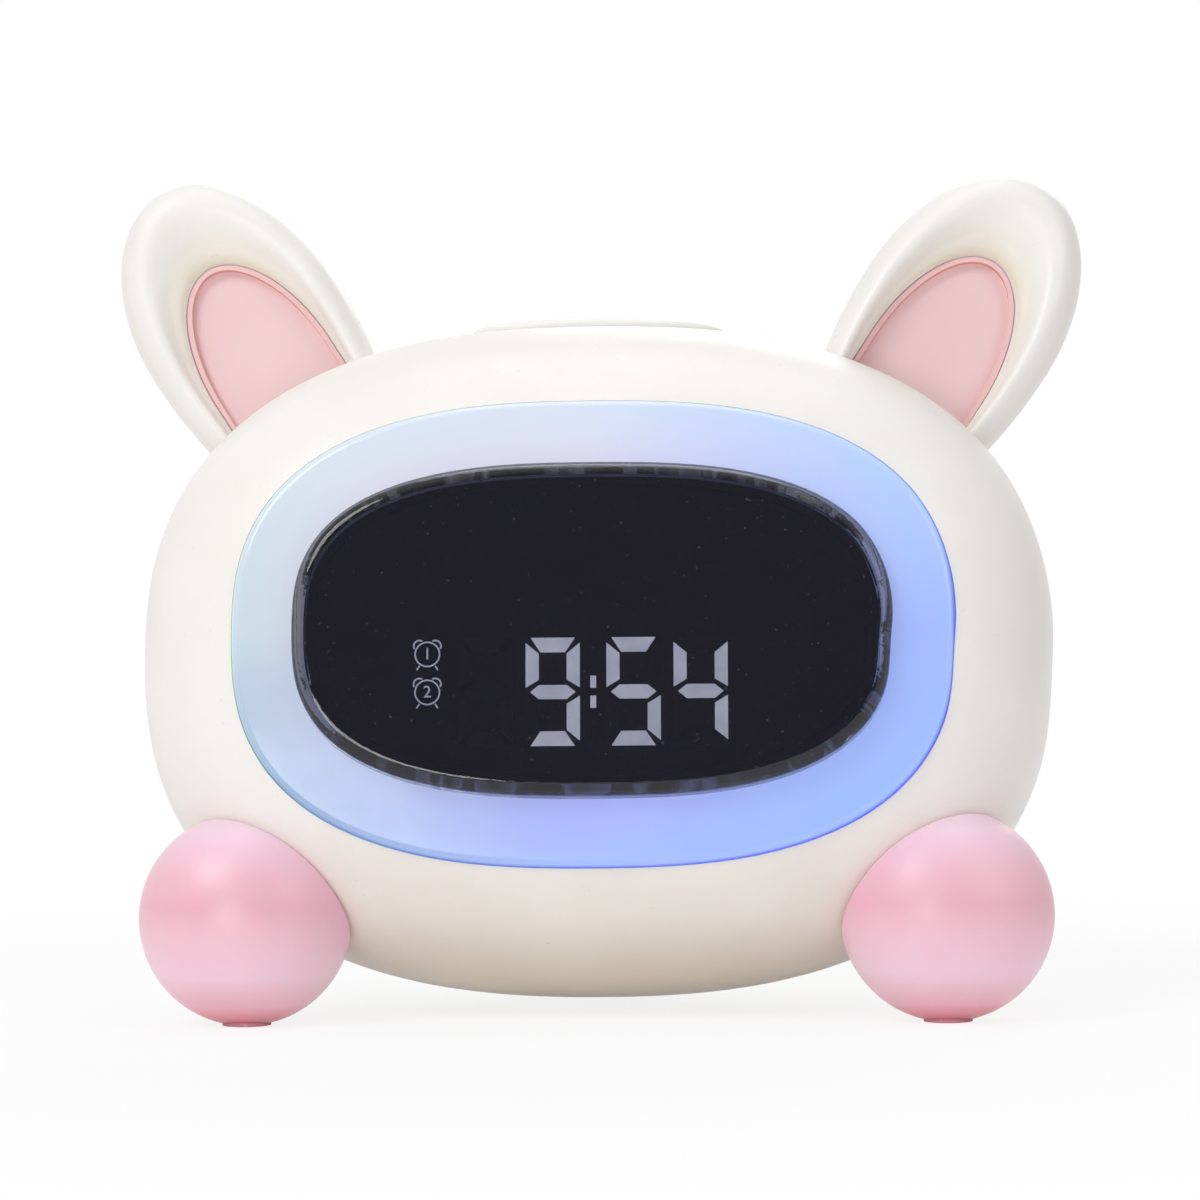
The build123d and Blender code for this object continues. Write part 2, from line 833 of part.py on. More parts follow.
def switch_body():
    """Square switch housing on the plane Z = 0, with a bore for its plunger."""
    body = block(switch_size, switch_size, switch_height, 0, 0, switch_height / 2)
    return body - post(plunger_radius + fit_gap, 0, 0, switch_height / 2, switch_height)


def switch_plunger():
    """Plunger of a switch, which stands out of its bore by more than it travels."""
    return post(plunger_radius, 0, 0, switch_height / 2 + plunger_height, switch_height + plunger_height)


def key_x(index):
    """Place of a key across the back, the first at the left seen from behind."""
    return (len(key_names) - 1 - 2 * index) / 2 * key_pitch


def key_place(index):
    """Where a key's switch stands on the key board."""
    return Pos(key_x(index), key_board_y, key_z) * Rot(-90, 0, 0)


def key_cap(index):
    """Round key with a flange behind the shell and a stem to its switch."""
    x = key_x(index)
    cap = rod(key_radius, x, key_z, key_flange_y, rear_cap_depth + key_rise)
    cap = fillet(cap.faces().sort_by(Axis.Y)[-1].edges(), key_edge_round)
    cap += rod(key_radius + key_flange, x, key_z, key_flange_y, key_flange_y + key_flange_thickness)
    return cap + rod(stem_radius, x, key_z, key_plunger_y, key_flange_y)


def key_board():
    """Board behind the keys, which also carries the charging socket."""
    y = key_board_y - board_thickness / 2
    board = block(key_board_width, board_thickness, key_board_height, 0, y, key_board_z)
    for x, z in key_screw_places:
        board -= rod(screw_radius + fit_gap, x, z, 0, key_board_y)
    return board


def key_screws():
    """Screws that hold the key board to the rear shell."""
    screws = []
    head_y = key_board_y - board_thickness
    for x, z in key_screw_places:
        shank = rod(screw_radius, x, z, head_y, key_board_y + key_screw_reach - pilot_gap)
        screws.append(shank + rod(screw_head_radius, x, z, head_y - screw_head_height, head_y))
    return screws


def charging_socket():
    """Metal shell of the charging socket, open to the rear."""
    mouth_y = cap_inside_y + shell_wall / 2
    shell = along_depth(socket_outline(0), 0, socket_z, key_board_y, mouth_y)
    return shell - along_depth(socket_outline(-socket_wall), 0, socket_z, mouth_y - socket_depth, mouth_y)


def socket_tongue():
    """Contact tongue inside the charging socket."""
    start_y = cap_inside_y + shell_wall / 2 - socket_depth
    depth = socket_depth * socket_tongue_share
    width = 2 * socket_half_width * socket_tongue_share
    return block(width, depth, socket_tongue_thickness, 0, start_y + depth / 2, socket_z)


def speaker_turned(points):
    """Round piece of the speaker, turned from a half section of radius and depth."""
    half = Plane(origin=(0, 0, speaker_z), x_dir=(1, 0, 0), z_dir=(0, 0, 1))
    outline = half * make_face(Polyline(points, close=True))
    return revolve(outline, axis=Axis((0, 0, speaker_z), (0, 1, 0)))


def speaker_gasket():
    """Foam ring between the speaker and the grille."""
    ring = rod(speaker_radius, 0, speaker_z, speaker_rim_y, cap_inside_y)
    return ring - rod(speaker_radius - speaker_rim, 0, speaker_z, speaker_rim_y, cap_inside_y)


def speaker_frame():
    """Pressed basket: a flat rim, a tapered wall and a back plate."""
    inner = speaker_radius - speaker_rim
    rim_back_y = speaker_rim_y - speaker_rim_thickness
    return speaker_turned([
        (0, speaker_back_y),
        (magnet_radius + speaker_sheet, speaker_back_y),
        (inner + speaker_sheet, rim_back_y),
        (speaker_radius, rim_back_y),
        (speaker_radius, speaker_rim_y),
        (inner, speaker_rim_y),
        (magnet_radius, speaker_back_y + speaker_sheet),
        (0, speaker_back_y + speaker_sheet),
    ])


def speaker_cone():
    """Paper cone with a dust cap, between the basket's rim and its voice coil."""
    edge = speaker_radius - speaker_rim - 3 * fit_gap
    coil_y = speaker_back_y + cone_lift
    return speaker_turned([
        (0, coil_y),
        (magnet_radius / 2, coil_y),
        (edge - speaker_sheet / 2, speaker_rim_y - speaker_sheet / 2),
        (edge, speaker_rim_y),
        (magnet_radius / 2, coil_y + speaker_sheet),
        (0, coil_y + speaker_sheet + cone_cap_rise),
    ])


def speaker_magnet():
    """Magnet on the back of the basket."""
    back_y = cap_inside_y - speaker_depth
    return rod(magnet_radius, 0, speaker_z, back_y, back_y + magnet_height)


def battery_cell():
    """Flat rechargeable cell with round edges."""
    y = main_board_back_y + cell_tape + cell_thickness / 2
    cell = block(cell_width, cell_thickness, cell_height, cell_x, y, 0)
    return fillet(cell.edges().filter_by(Axis.Z), cell_thickness / 3)


def battery_tape():
    """Foam tape between the cell and the main board."""
    y = main_board_back_y + cell_tape / 2
    width = cell_width - 2 * cell_tape_inset
    return block(width, cell_tape, cell_height - 2 * cell_tape_inset, cell_x, y, 0)


def lead(points, bend):
    """Insulated wire on straight runs joined by arcs."""
    path = FilletPolyline(*points, radius=bend)
    return sweep(Plane(origin=path @ 0, z_dir=path % 0) * Circle(wire_radius), path=path)


def speaker_leads():
    """Two wires from the speaker to the main board."""
    wires = []
    start_y = speaker_back_y - wire_radius
    board_y = main_board_back_y + plug_rise
    for step in (0, 1):
        shift = step * 3 * wire_radius
        x = -magnet_radius - 2 * wire_radius - shift
        far_x = speaker_plug[0] - wire_radius + shift
        points = [
            (x, start_y, speaker_z),
            (x, start_y - speaker_lead_run, speaker_z),
            (far_x, board_y + speaker_lead_run, speaker_z),
            (far_x, board_y, speaker_z),
        ]
        wires.append(lead(points, speaker_lead_bend))
    return wires


def battery_leads():
    """Two short wires from the cell to the side of its plug."""
    wires = []
    start_x = cell_x - cell_width / 2
    start_y = main_board_back_y + cell_tape + cell_thickness / 2
    plug_x, plug_z, plug_width = battery_plug[:3]
    end_x = plug_x + plug_width / 2 + wire_radius
    end_y = main_board_back_y + plug_rise / 2
    for side in (-1, 1):
        z = side * 1.5 * wire_radius + plug_z
        points = [
            (start_x, start_y, z),
            ((start_x + end_x) / 2, start_y, z),
            (end_x, end_y, z),
        ]
        wires.append(lead(points, battery_lead_bend))
    return wires


def key_ribbon():
    """Flat cable between the main board and the key board."""
    x, z = ribbon_plug[:2]
    start_y = main_board_back_y + plug_rise
    end_y = key_board_y - board_thickness
    middle_y = (start_y + end_y) / 2
    path = FilletPolyline(
        (x, start_y, z),
        (x, middle_y - ribbon_bow, z),
        (x, middle_y, z - ribbon_bow),
        (x, middle_y + ribbon_bow, z),
        (x, end_y, z),
        radius=ribbon_bend,
    )
    start = Plane(origin=path @ 0, x_dir=(1, 0, 0), z_dir=path % 0)
    return sweep(start * Rectangle(ribbon_width, ribbon_thickness), path=path)


def ear(side):
    """Ear shell: a round back, a rolled rim, a dished front and a tenon."""
    wires = []
    for side_inset, tip_inset, depth in ear_profile:
        wires.append(ear_wire(side_inset, tip_inset, ear_front_y + depth))
    shape = ear_place(side) * (Part() + Solid.make_loft(wires)) - outer_form
    shape += ear_place(side) * tenon_block(0, tenon_end, tenon_reach)
    shape -= ear_place(side) * ear_opening(0, ear_front_y, tray_back_y)
    pilot = post(screw_radius + pilot_gap, 0, ear_screw_y(), 0, tenon_end + ear_screw_reach)
    return shape - ear_place(side) * pilot


def ear_insert(side):
    """Pink tray in the ear, with a thin rim round its floor."""
    floor_y = tray_back_y - tray_floor
    rim_y = floor_y - tray_step + fit_gap
    tray = ear_opening(-fit_gap, rim_y, tray_back_y)
    tray -= ear_opening(-tray_wall - fit_gap, 0, floor_y)
    return ear_place(side) * tray - outer_form


def ear_screws():
    """Screws inside the rear shell that pull the ears home."""
    screws = []
    seat = tenon_end - tenon_pocket_floor
    for side in (-1, 1):
        shank = post(screw_radius, 0, ear_screw_y(), seat, tenon_end + ear_screw_reach - pilot_gap)
        head = post(screw_head_radius, 0, ear_screw_y(), seat - screw_head_height, seat)
        screws.append(ear_place(side) * (shank + head))
    return screws


def foot_ball(side, shrink):
    """Ball of a front foot, flatter from front to back, in the body's frame."""
    radius = foot_radius - shrink
    ball = scale(Sphere(1), by=(radius, foot_half_depth - shrink, radius))
    return upright * Pos(side * foot_spread, -foot_forward, centre_height - foot_drop) * ball


def below_foot(side):
    """What lies under the flat that a front foot stands on."""
    size = 4 * foot_radius
    return block(size, size, size, side * foot_spread, -foot_forward, foot_pad_rise - size / 2)


def foot(side):
    """Hollow front foot, seated on the front shell by a rounded rim."""
    shape = foot_ball(side, 0) - upright * below_foot(side) - outer_form
    seat = shape.faces().sort_by(lambda face: face.center().length)[0]
    shape = fillet(seat.edges(), foot_rim_round)
    direction = foot_centre(side).normalized()
    reach = foot_centre(side).length
    hollow = foot_ball(side, foot_wall)
    hollow -= rod_from_centre(boss_radius, direction, 0, 2 * reach)
    shape -= hollow
    shape -= upright * foot_pad_solid(side, fit_gap)
    screw_end = foot_screw_seat(direction) + foot_screw_length
    return shape - rod_from_centre(screw_radius + pilot_gap, direction, 0, screw_end)


def foot_pad_solid(side, grow):
    """Rubber disc under a front foot, standing on the ground."""
    return post(foot_pad_radius + grow, side * foot_spread, -foot_forward, 0, foot_pad_thickness)


def foot_screws():
    """Screws inside the front shell that hold the feet."""
    screws = []
    for side in (-1, 1):
        direction = foot_centre(side).normalized()
        seat = foot_screw_seat(direction)
        shank = rod_from_centre(screw_radius, direction, seat, seat + foot_screw_length - pilot_gap)
        screws.append(shank + rod_from_centre(screw_head_radius, direction, seat - screw_head_height, seat))
    return screws


def rear_peg(side, grow):
    """Peg of the rear foot that plugs into the rear shell."""
    x = side * rear_peg_spread
    return post(rear_peg_radius + grow, x, rear_foot_back, rear_peg_start, rear_peg_end)


def rear_foot_outline(inset):
    """Rounded outline of the rear foot on the ground, moved in."""
    size = (rear_foot_width - 2 * inset, rear_foot_depth - 2 * inset)
    return Pos(0, rear_foot_back) * SlotOverall(*size)


def rear_foot():
    """Rear foot under the body, with two pegs and a recess for its pad, in the body's frame."""
    shape = extrude(Plane.XY.offset(rear_pad_thickness / 2) * rear_foot_outline(0), amount=centre_height / 2)
    shape -= extrude(rear_foot_outline(rear_pad_inset), amount=rear_pad_thickness)
    shape = upright * shape - outer_form
    for side in (-1, 1):
        shape += upright * rear_peg(side, 0)
    return shape


def rear_foot_pad():
    """Rubber pad under the rear foot."""
    return upright * extrude(rear_foot_outline(rear_pad_inset + fit_gap), amount=rear_pad_thickness)


def key_switches():
    """Tact switch under each key."""
    return [key_place(index) * switch_body() for index in range(len(key_names))]


def all_parts():
    """Every node by name, in the body's own frame."""
    parts = {
        "front_shell": front_shell(),
        "rear_shell": rear_shell(),
        "light_ring": light_ring(),
        "light_reflector": light_reflector(),
        "display_lens": display_lens(),
        "lens_tape": lens_tape(),
        "display_frame": display_frame(),
        "display_module": display_module(),
        "lit_segments": Compound(children=segments(True)),
        "dark_segments": Compound(children=segments(False)),
        "main_board": main_board(),
        "board_parts": Compound(children=board_parts()),
        "ring_leds": Compound(children=ring_leds()),
        "main_screws": Compound(children=main_screws()),
        "snooze_button": snooze_button(),
        "snooze_springs": Compound(children=snooze_springs()),
        "snooze_bracket": snooze_bracket(),
        "snooze_switch": Pos(0, 0, bracket_top()) * switch_body(),
        "snooze_plunger": Pos(0, 0, bracket_top()) * switch_plunger(),
        "bracket_screws": Compound(children=bracket_screws()),
        "key_board": key_board(),
        "key_screws": Compound(children=key_screws()),
        "key_switches": Compound(children=key_switches()),
        "charging_socket": charging_socket(),
        "socket_tongue": socket_tongue(),
        "speaker_gasket": speaker_gasket(),
        "speaker_frame": speaker_frame(),
        "speaker_cone": speaker_cone(),
        "speaker_magnet": speaker_magnet(),
        "battery_cell": battery_cell(),
        "battery_tape": battery_tape(),
        "speaker_leads": Compound(children=speaker_leads()),
        "battery_leads": Compound(children=battery_leads()),
        "key_ribbon": key_ribbon(),
        "ear_screws": Compound(children=ear_screws()),
        "foot_screws": Compound(children=foot_screws()),
        "rear_foot": rear_foot(),
        "rear_foot_pad": rear_foot_pad(),
        "case_screws": Compound(children=case_screws()),
    }
    for side, word in ((-1, "left"), (1, "right")):
        parts[word + "_ear"] = ear(side)
        parts[word + "_ear_insert"] = ear_insert(side)
        parts[word + "_foot"] = foot(side)
        parts[word + "_foot_pad"] = upright * foot_pad_solid(side, 0)
    for index, name in enumerate(key_names):
        parts[name] = key_cap(index)
        parts[name + "_plunger"] = key_place(index) * switch_plunger()
    return parts


def main():
    """Stand the clock on its feet, centre it front to back and write each node."""
    os.makedirs("parts", exist_ok=True)
    standing = {name: lean_back * shape for name, shape in all_parts().items()}
    boxes = [shape.bounding_box() for shape in standing.values()]
    front = min(box.min.Y for box in boxes)
    rear = max(box.max.Y for box in boxes)
    centring = Pos(0, -(front + rear) / 2, 0)
    for name, shape in standing.items():
        export_step(centring * shape, f"parts/{name}.step")


main()
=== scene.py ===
import math
import bpy
from mathutils import Matrix, Vector


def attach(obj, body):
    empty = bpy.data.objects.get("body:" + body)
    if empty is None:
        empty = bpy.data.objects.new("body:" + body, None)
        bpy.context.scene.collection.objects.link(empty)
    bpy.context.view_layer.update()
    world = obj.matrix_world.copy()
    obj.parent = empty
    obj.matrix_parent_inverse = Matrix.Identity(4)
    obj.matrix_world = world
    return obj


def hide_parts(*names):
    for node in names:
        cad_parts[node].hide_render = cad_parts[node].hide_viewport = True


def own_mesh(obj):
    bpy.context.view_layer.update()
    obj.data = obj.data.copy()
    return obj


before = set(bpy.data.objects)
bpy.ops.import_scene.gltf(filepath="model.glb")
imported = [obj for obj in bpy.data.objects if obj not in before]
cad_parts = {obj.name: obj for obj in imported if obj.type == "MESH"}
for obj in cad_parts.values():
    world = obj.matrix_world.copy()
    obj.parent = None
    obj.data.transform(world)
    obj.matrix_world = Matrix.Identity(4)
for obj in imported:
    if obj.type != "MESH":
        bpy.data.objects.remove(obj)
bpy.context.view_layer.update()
print("frame loaded:", len(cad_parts), "nodes")

# The clock's body leans back about its centre. Pieces are laid out upright, then leaned.
stance = {"lean": 10.5, "centre": (0.0, 0.0016, 0.0553)}
leaned = Matrix.Translation(stance["centre"]) @ Matrix.Rotation(math.radians(-stance["lean"]), 4, "X")


def screenColor(red, green, blue):
    # a colour as a screen shows it, 0 to 255, made linear
    parts = []
    for value in (red, green, blue):
        value = value / 255
        parts.append(value / 12.92 if value <= 0.04045 else ((value + 0.055) / 1.055) ** 2.4)
    return (*parts, 1.0)


def screenStops(stops):
    return [(at, screenColor(*rgb)) for at, rgb in stops]


def setValues(node, values):
    for name, value in values.items():
        node.inputs[name].default_value = value


def addNode(tree, kind, at, props=None, values=None):
    node = tree.nodes.new("ShaderNode" + kind)
    node.location = at
    for name, value in (props or {}).items():
        setattr(node, name, value)
    setValues(node, values or {})
    return node


def wire(tree, runs):
    # each run goes from a node's output to a node's input
    for source, output, target, entry in runs:
        tree.links.new(source.outputs[output], target.inputs[entry])


def newGroup(name, inputs, outputs):
    group = bpy.data.node_groups.new(name, "ShaderNodeTree")
    for socketName, kind, value in inputs:
        socket = group.interface.new_socket(name=socketName, in_out="INPUT", socket_type=kind)
        if value is not None:
            socket.default_value = value
    for socketName in outputs:
        group.interface.new_socket(name=socketName, in_out="OUTPUT", socket_type="NodeSocketFloat")
    groupIn = group.nodes.new("NodeGroupInput")
    groupOut = group.nodes.new("NodeGroupOutput")
    groupIn.location = (-900, 0)
    groupOut.location = (900, 0)
    return group, groupIn, groupOut


def placeGroup(tree, group, at, place, values=None):
    node = addNode(tree, "Group", at, {"node_tree": group}, values)
    wire(tree, [(place, "Object", node, "Vector")])
    return node


# shared effects
grainLook = {"grain": 2600.0, "ripple": 60.0, "rippleShare": 0.4, "toneFrom": 0.35, "toneTo": 0.65}


def buildMouldGrain():
    # the fine eroded texture of a moulding tool, with slow ripples from shrinkage
    look = grainLook
    inputs = [("Vector", "NodeSocketVector", None), ("Grain", "NodeSocketFloat", look["grain"]),
              ("Ripple", "NodeSocketFloat", look["ripple"]),
              ("Ripple Share", "NodeSocketFloat", look["rippleShare"])]
    group, groupIn, groupOut = newGroup("mouldGrain", inputs, ["Height", "Tone"])
    fine = addNode(group, "TexNoise", (-600, 200), values={"Detail": 3.0, "Roughness": 0.6})
    slow = addNode(group, "TexNoise", (-600, -100), values={"Detail": 2.0, "Roughness": 0.4})
    share = addNode(group, "Math", (-300, -100), {"operation": "MULTIPLY"})
    total = addNode(group, "Math", (0, 100), {"operation": "ADD"})
    tone = addNode(group, "MapRange", (0, -200),
                   values={"From Min": look["toneFrom"], "From Max": look["toneTo"]})
    wire(group, [
        (groupIn, "Vector", fine, "Vector"), (groupIn, "Vector", slow, "Vector"),
        (groupIn, "Grain", fine, "Scale"), (groupIn, "Ripple", slow, "Scale"),
        (slow, "Fac", share, 0), (groupIn, "Ripple Share", share, 1),
        (fine, "Fac", total, 0), (share, 0, total, 1), (slow, "Fac", tone, "Value"),
        (total, 0, groupOut, "Height"), (tone, "Result", groupOut, "Tone"),
    ])
    return group


handlingLook = {"smear": 45.0, "smearFrom": 0.42, "smearTo": 0.68, "speck": 900.0, "speckLimit": 0.74,
                "speckEdge": 14.0}


def buildHandling():
    # smears where hands go, and the odd speck of dust
    look = handlingLook
    inputs = [("Vector", "NodeSocketVector", None), ("Smear Size", "NodeSocketFloat", look["smear"]),
              ("Speck Size", "NodeSocketFloat", look["speck"]),
              ("Speck Limit", "NodeSocketFloat", look["speckLimit"])]
    group, groupIn, groupOut = newGroup("handling", inputs, ["Smear", "Speck"])
    smear = addNode(group, "TexNoise", (-600, 200),
                    values={"Detail": 4.0, "Roughness": 0.55, "Distortion": 0.6})
    smearRange = addNode(group, "MapRange", (-200, 200),
                         values={"From Min": look["smearFrom"], "From Max": look["smearTo"]})
    speck = addNode(group, "TexNoise", (-600, -100), values={"Detail": 1.0, "Roughness": 0.3})
    above = addNode(group, "Math", (-300, -100), {"operation": "SUBTRACT"})
    sharpen = addNode(group, "Math", (0, -100), {"operation": "MULTIPLY", "use_clamp": True},
                      {1: look["speckEdge"]})
    wire(group, [
        (groupIn, "Vector", smear, "Vector"), (groupIn, "Vector", speck, "Vector"),
        (groupIn, "Smear Size", smear, "Scale"), (groupIn, "Speck Size", speck, "Scale"),
        (smear, "Fac", smearRange, "Value"), (speck, "Fac", above, 0),
        (groupIn, "Speck Limit", above, 1), (above, 0, sharpen, 0),
        (smearRange, "Result", groupOut, "Smear"), (sharpen, 0, groupOut, "Speck"),
    ])
    return group


mouldGrain = buildMouldGrain()
handling = buildHandling()
print("shared effects built")


# steps that several materials share
def startMaterial(name):
    material = bpy.data.materials.new(name)
    material.use_nodes = True
    tree = material.node_tree
    tree.nodes.clear()
    output = addNode(tree, "OutputMaterial", (900, 0))
    shader = addNode(tree, "BsdfPrincipled", (600, 0))
    wire(tree, [(shader, "BSDF", output, "Surface")])
    place = addNode(tree, "TexCoord", (-1200, 0))
    return material, tree, shader, place


def mixTones(tree, at, factor, first, second, blend="MIX"):
    # the factor and both tones are each an output to link or a plain value
    mix = addNode(tree, "Mix", at, {"data_type": "RGBA", "blend_type": blend})
    for entry, given in ((0, factor), (6, first), (7, second)):
        if isinstance(given, bpy.types.NodeSocket):
            tree.links.new(given, mix.inputs[entry])
        else:
            mix.inputs[entry].default_value = given
    return mix.outputs[2]


def addRamp(tree, at, stops):
    node = addNode(tree, "ValToRGB", at)
    elements = node.color_ramp.elements
    for index, (place, color) in ((0, stops[0]), (1, stops[-1])):
        elements[index].position = place
        elements[index].color = color
    for place, color in stops[1:-1]:
        elements.new(place).color = color
    return node


def uprightAxes(tree, place, at):
    # where a point lies on the clock before it leans back, axis by axis
    upright = addNode(tree, "Mapping", at, {"vector_type": "TEXTURE"},
                      {"Location": stance["centre"], "Rotation": (math.radians(-stance["lean"]), 0, 0)})
    axes = addNode(tree, "SeparateXYZ", (at[0] + 200, at[1]))
    wire(tree, [(place, "Object", upright, "Vector"), (upright, "Vector", axes, "Vector")])
    return axes


def driveGloss(tree, shader, source, output, at, gloss):
    spread = addNode(tree, "MapRange", at, values={"To Min": gloss[0], "To Max": gloss[1]})
    wire(tree, [(source, output, spread, "Value"), (spread, "Result", shader, "Roughness")])


def addRelief(tree, shader, source, output, at, depth, reach=0.0001):
    bump = addNode(tree, "Bump", at, values={"Strength": depth, "Distance": reach})
    wire(tree, [(source, output, bump, "Height"), (bump, "Normal", shader, "Normal")])


def riseTint(tree, place, look, tone):
    # painted light and shade: a tint that changes with the height above the table, standing in for how the
    # lamps and the floor's bounce fall on the piece
    axes = addNode(tree, "SeparateXYZ", (-700, 600))
    height = addNode(tree, "MapRange", (-500, 600), values={"From Max": look["rise"]})
    tint = addRamp(tree, (-300, 600), screenStops(look["paintedLightTints"]))
    wire(tree, [(place, "Object", axes, "Vector"), (axes, "Z", height, "Value"),
                (height, "Result", tint, "Fac")])
    return mixTones(tree, (300, 300), 1.0, tone, tint.outputs["Color"], "MULTIPLY")


def dishTint(tree, place, look, tone):
    # painted shade: warmer and darker where the hollowed front lies deep and faces forward, in place of the
    # shade in the hollow
    axes = uprightAxes(tree, place, (-900, 600))
    deep = addNode(tree, "MapRange", (-500, 600), {"interpolation_type": "SMOOTHSTEP"},
                   {"From Min": look["dishStart"], "From Max": look["dishEnd"]})
    facing = addNode(tree, "SeparateXYZ", (-700, 800))
    front = addNode(tree, "MapRange", (-500, 800),
                    values={"From Min": look["faceStart"], "From Max": look["faceEnd"]})
    share = addNode(tree, "Math", (-300, 700), {"operation": "MULTIPLY"})
    wire(tree, [(axes, "Y", deep, "Value"), (place, "Normal", facing, "Vector"),
                (facing, "Y", front, "Value"), (deep, "Result", share, 0), (front, "Result", share, 1)])
    return mixTones(tree, (300, 300), share.outputs[0], tone, look["dishShadeTone"], "MULTIPLY")


def mouldedPlastic(name, look):
    # plain moulded plastic: two close tones, grain in the bump, smears in the gloss
    material, tree, shader, place = startMaterial(name)
    grain = placeGroup(tree, mouldGrain, (-700, 200), place,
                       {"Grain": look["grain"], "Ripple": look["ripple"]})
    marks = placeGroup(tree, handling, (-700, -200), place,
                       {"Smear Size": look["smear"], "Speck Limit": look["speckLimit"]})
    tone = mixTones(tree, (-300, 300), grain.outputs["Tone"], look["color"], look["shade"])
    tone = mixTones(tree, (0, 300), marks.outputs["Speck"], tone, look["dust"])
    # painted light, where the look asks for it: shade and highlight by height, shade in a dish
    if "rise" in look:
        tone = riseTint(tree, place, look, tone)
    if "dishShadeTone" in look:
        tone = dishTint(tree, place, look, tone)
    tree.links.new(tone, shader.inputs["Base Color"])
    driveGloss(tree, shader, marks, "Smear", (0, 0), look["gloss"])
    addRelief(tree, shader, grain, "Height", (300, -200), look["depth"])
    setValues(shader, {"IOR": 1.5})
    if "glow" in look:
        setValues(shader, {"Subsurface Weight": look["glow"], "Subsurface Radius": look["glowRadius"],
                           "Subsurface Scale": look["glowDepth"]})
    if "coat" in look:
        setValues(shader, {"Coat Weight": look["coat"], "Coat Roughness": look["coatGloss"]})
    return material


def giveMaterial(piece, material):
    piece.data.materials.clear()
    piece.data.materials.append(material)


def dressNodes(material, names, crease=32):
    # a CAD node keeps its mesh: its triangles are only joined, creased and shaded smooth
    for name in names:
        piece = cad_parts[name]
        for face in piece.data.polygons:
            face.use_smooth = True
        weld = piece.modifiers.new("weld", "WELD")
        weld.merge_threshold = 0.000002
        split = piece.modifiers.new("crease", "EDGE_SPLIT")
        split.split_angle = math.radians(crease)
        split.use_edge_sharp = False
        even = piece.modifiers.new("evenNormals", "WEIGHTED_NORMAL")
        even.weight = 50
        giveMaterial(piece, material)


# white case, ears, rear foot and press bar
shellLook = {
    "color": screenColor(245, 243, 239), "shade": screenColor(241, 238, 233),
    "dust": screenColor(232, 228, 221), "grain": 3200.0, "ripple": 55.0, "smear": 38.0, "speckLimit": 0.77,
    "gloss": (0.36, 0.46), "depth": 0.10, "glow": 0.08, "glowRadius": (1.0, 0.8, 0.6), "glowDepth": 0.002,
}
caseLook = {
    **shellLook, "rise": 0.13,
    # painted shade: the tints darken and warm the case towards the table
    "paintedLightTints": [(0.0, (226, 207, 180)), (0.05, (239, 228, 211)), (0.13, (254, 250, 246)),
              (0.3, (255, 254, 253)), (1.0, (255, 255, 255))],
}
earLook = {
    # painted shade: the dish tone darkens and warms the hollow above the pink tray
    **shellLook, "dishShadeTone": screenColor(240, 231, 214), "dishStart": 0.0015, "dishEnd": 0.0048,
    "faceStart": -0.4, "faceEnd": -0.75, "crease": 50,
}
dressNodes(mouldedPlastic("caseWhite", caseLook), ["front_shell", "rear_shell"])
dressNodes(mouldedPlastic("shellWhite", shellLook), ["rear_foot", "snooze_button"])
dressNodes(mouldedPlastic("earWhite", earLook), ["left_ear", "right_ear"], earLook["crease"])
print("case dressed")


# glowing ring
ringLook = {
    "halfWidth": 0.056, "halfHeight": 0.0366, "power": 2.6, "edgeStart": 0.965, "light": 0.62, "body": 0.42,
    "smear": 60.0, "gloss": (0.16, 0.26), "crease": 28,
    # colours round the ring, anticlockwise from the left as seen from the front, as shares of a turn
    "stops": [(0.0, (206, 217, 227)), (0.11, (161, 180, 213)), (0.25, (170, 189, 255)),
              (0.37, (166, 193, 255)), (0.5, (168, 190, 255)), (0.62, (189, 211, 255)),
              (0.75, (222, 228, 244)), (0.875, (221, 228, 237)), (1.0, (206, 217, 227))],
    # beside the lens it is a little more violet than at its edge
    "drift": [(0.45, (255, 247, 254)), (0.72, (251, 251, 255)), (0.95, (247, 253, 255))],
    # the thin dark line round its edge, as shares of a turn too
    "edgeTints": [(0.0, (206, 222, 216)), (0.1, (96, 158, 190)), (0.2, (66, 112, 214)),
                  (0.32, (66, 84, 244)), (0.5, (70, 96, 244)), (0.6, (120, 160, 240)),
                  (0.72, (214, 222, 226)), (1.0, (206, 222, 216))],
}


